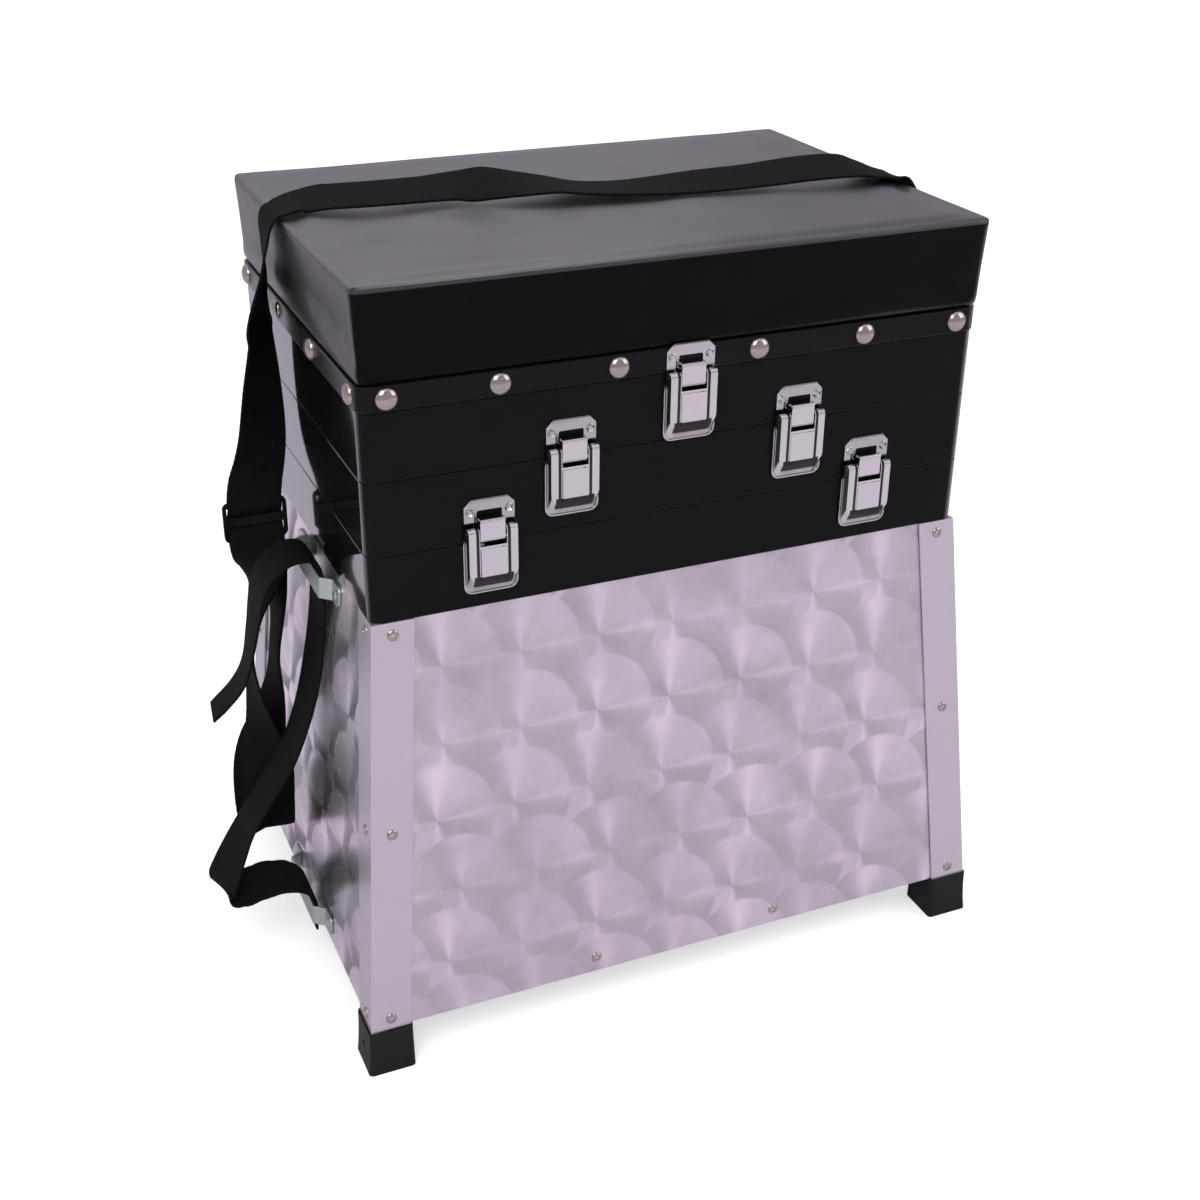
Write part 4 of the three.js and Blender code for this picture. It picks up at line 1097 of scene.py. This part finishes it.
@dataclass
class Straps:
    """The shoulder strap over the seat with its two hanging loops, and the two side straps.

    The left side's stations are given one by one: x, y and z in mm, then the turn of the way across.
    """

    seat_top: float = 574.3
    slider_edge: float = 0.5
    right_shift: float = -70.0
    right_lean: float = 8.0
    side_shift: float = 25.5
    slider_x: float = -258.5
    slider_y: float = 27.0
    slider_z: float = 351.0
    seat_run: tuple = (
        (-205, 16.5, 1, 6), (-190, 10, 3, 8), (-158, 1, 4, 10), (-118, 3, 3, 11), (-96, 3, 2, 15),
        (-77, -4, 2.5, 18), (-56, -10, 4, 11), (-35, -15, 5, 4), (-15, -21, 4, 0), (3, -26, 3, 0),
        (22, -28, 2, 1), (42, -30, 1, 4), (77, -34, 1, 8), (118, -37, 2, 9), (157, -41, 4, 11),
        (190, -44.5, 4, 11), (203, -46.5, 2.4, 7), (213, -47.5, 1.4, 3))
    fall: tuple = (
        (-221, 34, 574.4, 90), (-228.6, 33.5, 571.6, 89), (-232.0, 32.5, 564.5, 87), (-234, 30.5, 553, 82),
        (-236, 28, 541, 76), (-238.5, 26, 527, 69), (-242, 24, 513, 62), (-243.8, 23.1, 502, 56),
        (-244, 23, 497, 53), (-244, 23, 492.5, 53))
    above: tuple = (
        (-244, 23, 492.2, 53), (-244, 23, 486, 53), (-246, 22.3, 455, 38), (-249, 21.5, 418, 22),
        (-252.5, 22.6, 398, 12), (-256.5, 24, 382, 3))
    through: tuple = (
        (18.25, -2.5), (16, -2.5), (13.75, -2.5), (11.5, -2.5), (7.5, 0), (3.5, 2.5), (0, 2.5), (-3.5, 2.5),
        (-7.5, 0), (-11.5, -2.5), (-13.75, -2.5), (-16, -2.5), (-18.25, -2.5))
    front_drop: tuple = (
        (-258.5, 24.5, 324, -18), (-258.5, 24.5, 310, -50), (-261, 24.5, 294, -80), (-266, 24, 277, -92),
        (-272, 26, 247, -95), (-271, 26.5, 209, -84), (-268.5, 25, 177, -64), (-268, 23, 155, -35),
        (-268, 21, 135, -8), (-269.5, 18, 115, 0), (-271, 16, 97, 0), (-271.7, 16, 91.5, 0),
        (-273, 18.7, 88.4, 0))
    back_rise: tuple = (
        (-273, 18.7, 88.4, 0), (-274.3, 21.5, 91.5, 0), (-275, 22.5, 98, 0), (-275.5, 25, 113, 0),
        (-273.5, 29, 137, -8), (-268.5, 32, 157, -35), (-262, 33, 175, -62), (-254, 34, 206, -84),
        (-251.5, 34, 240, -94), (-248, 34, 268, -90), (-249, 33, 290, -75), (-254, 32, 308, -45),
        (-257, 32, 322, -15), (-258.5, 31.9, 335, 0), (-258.5, 31.9, 344, 0), (-258.5, 31.9, 354.5, 0))
    side_run: tuple = (
        (-255.7, -35, 34, 0), (-255.2, -35, 44, 0), (-254.7, -35, 53, 0), (-254.6, -35, 59, 0),
        (-256.8, -35, 65, 0), (-263, -34, 70.5, 0), (-273, -31, 72.5, 0), (-286, -24, 68.5, -0.03),
        (-299, -15, 61, -0.14), (-310, -11, 57.5, -0.28), (-316.5, -10, 59.5, -0.33),
        (-317.5, -10, 65.5, -0.32), (-313, -10, 76.5, -0.28), (-304, -10, 96, -0.14), (-293, -10, 117, 0),
        (-276, -11, 143, 0.02), (-259, -13, 171, 0.02), (-246.5, -17, 205, 0), (-237.5, -22, 243, -0.04),
        (-232.3, -29, 283, -0.02), (-230.8, -34, 310, 0), (-230.9, -35, 325, 0), (-231, -35, 336, 0),
        (-233, -35, 344.5, 0), (-239.5, -35, 349.5, 0), (-248.5, -34, 349.5, 0), (-258, -32, 344.5, 0),
        (-267, -29, 334, 0), (-272.3, -26, 320, 0), (-274.8, -22, 304, 0.03), (-278.3, -18, 281, 0.08),
        (-285, -14, 251, 0.16), (-295.4, -10, 232.5, 0.25), (-310.5, -10, 219, 0.32))

    def seat_stations(self) -> list[Station]:
        """Up the left side, across the seat and down the right side.

        Returns:
            The stations from the left end to the right one.
        """
        left = [level_station(*row) for row in self.fall]
        over = []
        for x, front, lift, tilt in self.seat_run:
            across = Vector((0, math.cos(math.radians(tilt)), math.sin(math.radians(tilt))))
            at = Vector((x, front, self.seat_top + lift)) + across * Strap.width / 2
            over.append(Station(at * MM, across))
        bend = len(left) - 2
        right = [mirrored(station, self.right_shift + self.right_lean * max(0.0, 1 - row / bend) ** 2)
                 for row, station in enumerate(left)]
        return left[::-1] + over + right

    def front_stations(self) -> list[Station]:
        """From the lid's lower edge through the slider and down the outer strand of a loop."""
        rows = [(self.slider_x, self.slider_y + dy, self.slider_z + dz, 0) for dz, dy in self.through]
        return [level_station(*row) for row in (*self.above, *rows, *self.front_drop)]

    def side_stations(self) -> list[Station]:
        """Through the lower bracket, out in a loose bow, and through the upper bracket to its free end."""
        return [Station(Vector((x, y, z)) * MM, Vector((lean, 1, 0)).normalized())
                for x, y, z, lean in self.side_run]

    def build(self) -> None:
        """Lay every strap and its slider."""
        Strap("shoulder_webbing", self.seat_stations(), "lid", "object", ["seat_strap"]).build()
        back = [level_station(*row) for row in self.back_rise]
        runs = (self.front_stations(), back, self.side_stations())
        shifts = (self.right_shift, self.right_shift, self.side_shift)
        others = [[mirrored(s, shift) for s in run] for run, shift in zip(runs, shifts)]
        for side, (front, back, loose) in (("left", runs), ("right", others)):
            refined(f"slider_{side}", BLACK_SATIN, self.slider_edge)
            Strap(f"loop_front_{side}", front, "base", "object", [f"shoulder_loop_{side}"],
                  [f"slider_{side}_dressed"]).build()
            Strap(f"loop_back_{side}", back, "base", "object").build()
            Strap(f"side_webbing_{side}", loose, "base", "bare", [f"side_strap_{side}"]).build()


@dataclass
class Studio:
    """A pale floor, a white surround, large soft lamps and the photograph's camera."""

    place: Triple = (-0.4713, -1.0891, 0.8615)
    forward: Triple = (0.3560, 0.8134, -0.4600)
    sideways: Triple = (0.9161, -0.4010, 0.0)
    roll: float = 0.605
    lens: float = 50.0
    sensor: float = 36.0
    floor_size: float = 14.0
    haze: float = 0.62
    room: tuple[Pair, ...] = ((0.0, 0.75), (1.0, 0.9), (0.47, 0.80), (0.53, 0.42), (0.62, 0.58),
                              (0.69, 0.60), (0.76, 0.34), (0.86, 0.70))
    aim: Triple = (0.0, 0.0, 0.3)
    lamps: tuple = (("key_lamp", (-1.2, -1.6, 2.2), 1.6, 26.0), ("fill_lamp", (1.9, -1.2, 1.4), 1.6, 12.0),
                    ("back_lamp", (0.4, 1.8, 2.0), 1.4, 4.0))

    def camera(self) -> None:
        """Set up the camera at the photograph's angle."""
        ahead = Vector(self.forward).normalized()
        right = Vector(self.sideways).normalized()
        axes = Matrix((right, right.cross(ahead), -ahead)).transposed().to_4x4()
        roll = Matrix.Rotation(math.radians(self.roll), 4, "Z")
        data = bpy.data.cameras.new("camera")
        data.lens, data.sensor_width = self.lens, self.sensor
        eye = new_object("camera", data)
        eye.matrix_world = Matrix.Translation(self.place) @ axes @ roll
        bpy.context.scene.camera = eye

    def surround(self) -> None:
        """White to the camera; to reflections a soft room with a darker band low down, and to the rest an
        even haze.
        """
        world = bpy.data.worlds.new("surround")
        world.use_nodes = True
        world.node_tree.nodes.clear()
        bpy.context.scene.world = world
        board = NodeBoard(world.node_tree)
        ray = board.node("ShaderNodeLightPath", output="Is Camera Ray")
        shiny = board.node("ShaderNodeLightPath", output="Is Glossy Ray")
        way = board.parts(board.node("ShaderNodeTexCoord", output="Generated"))
        stops = [(height, lilac(value)) for height, value in self.room]
        room = board.node("ShaderNodeValToRGB", {"stops": stops}, [way[2] * 0.5 + 0.5])
        colour = board.mix(ray, board.mix(shiny, grey(self.haze), room), WHITE)
        light = board.node("ShaderNodeBackground", inputs=[colour, 1.0])
        board.node("ShaderNodeOutputWorld", inputs=[light])

    def floor(self) -> None:
        """A pale floor that keeps the object's soft shadow."""
        shape = bmesh.new()
        bmesh.ops.create_grid(shape, x_segments=1, y_segments=1, size=self.floor_size)
        mesh = bpy.data.meshes.new("floor")
        shape.to_mesh(mesh)
        shape.free()
        finish, board, sockets = blank_material("floor")
        ray = board.node("ShaderNodeLightPath", output="Is Camera Ray")
        looks = {"Roughness": 1.0, "Specular IOR Level": 0.0, "Emission Strength": 1.0,
                 "Base Color": board.mix(ray, lilac(0.8), WHITE),
                 "Emission Color": board.mix(ray, grey(0.0), grey(0.45))}
        for socket, value in looks.items():
            board.plug(value, sockets[socket])
        mesh.materials.append(finish)
        new_object("floor", mesh)

    def lamp(self, name: str, at: Triple, size: float, power: float) -> None:
        """Hang a square soft lamp that points at the middle of the box.

        Args:
            name: the lamp's name.
            at: where it hangs.
            size: its side, in metres.
            power: its power, in watts.
        """
        data = bpy.data.lights.new(name, "AREA")
        data.shape, data.size, data.energy = "SQUARE", size, power
        lamp = new_object(name, data)
        lamp.matrix_world = Matrix.Translation(at) @ along(Vector(self.aim) - Vector(at), "-Z")

    def build(self) -> None:
        """Set up camera, surround, floor and lamps."""
        self.camera()
        self.surround()
        self.floor()
        for lamp in self.lamps:
            self.lamp(*lamp)
        bpy.context.scene.view_settings.view_transform = "Standard"


LATCHES = (("lid_latch", 0.0, 489.7), ("upper_latch_left", -84.5, 448.9), ("upper_latch_right", 84.5, 448.9),
           ("lower_latch_left", -142.0, 402.3), ("lower_latch_right", 142.0, 402.3))


def main() -> None:
    """Build the scene piece by piece."""
    logging.basicConfig(level=logging.INFO, format="%(message)s")
    Studio().build()
    Straps().build()
    MetalBody().build()
    BlackStack().build()
    Lid().build()
    for name, x, axle in LATCHES:
        Latch(name, x, axle).build()
    for name in ("lower_hinge", "middle_hinge", "lid_hinge"):
        Hinge(name).build()
    for side in ("left", "right"):
        for level in ("upper", "lower"):
            Bracket(f"{level}_bracket_{side}").build()


if __name__ == "__main__":
    main()
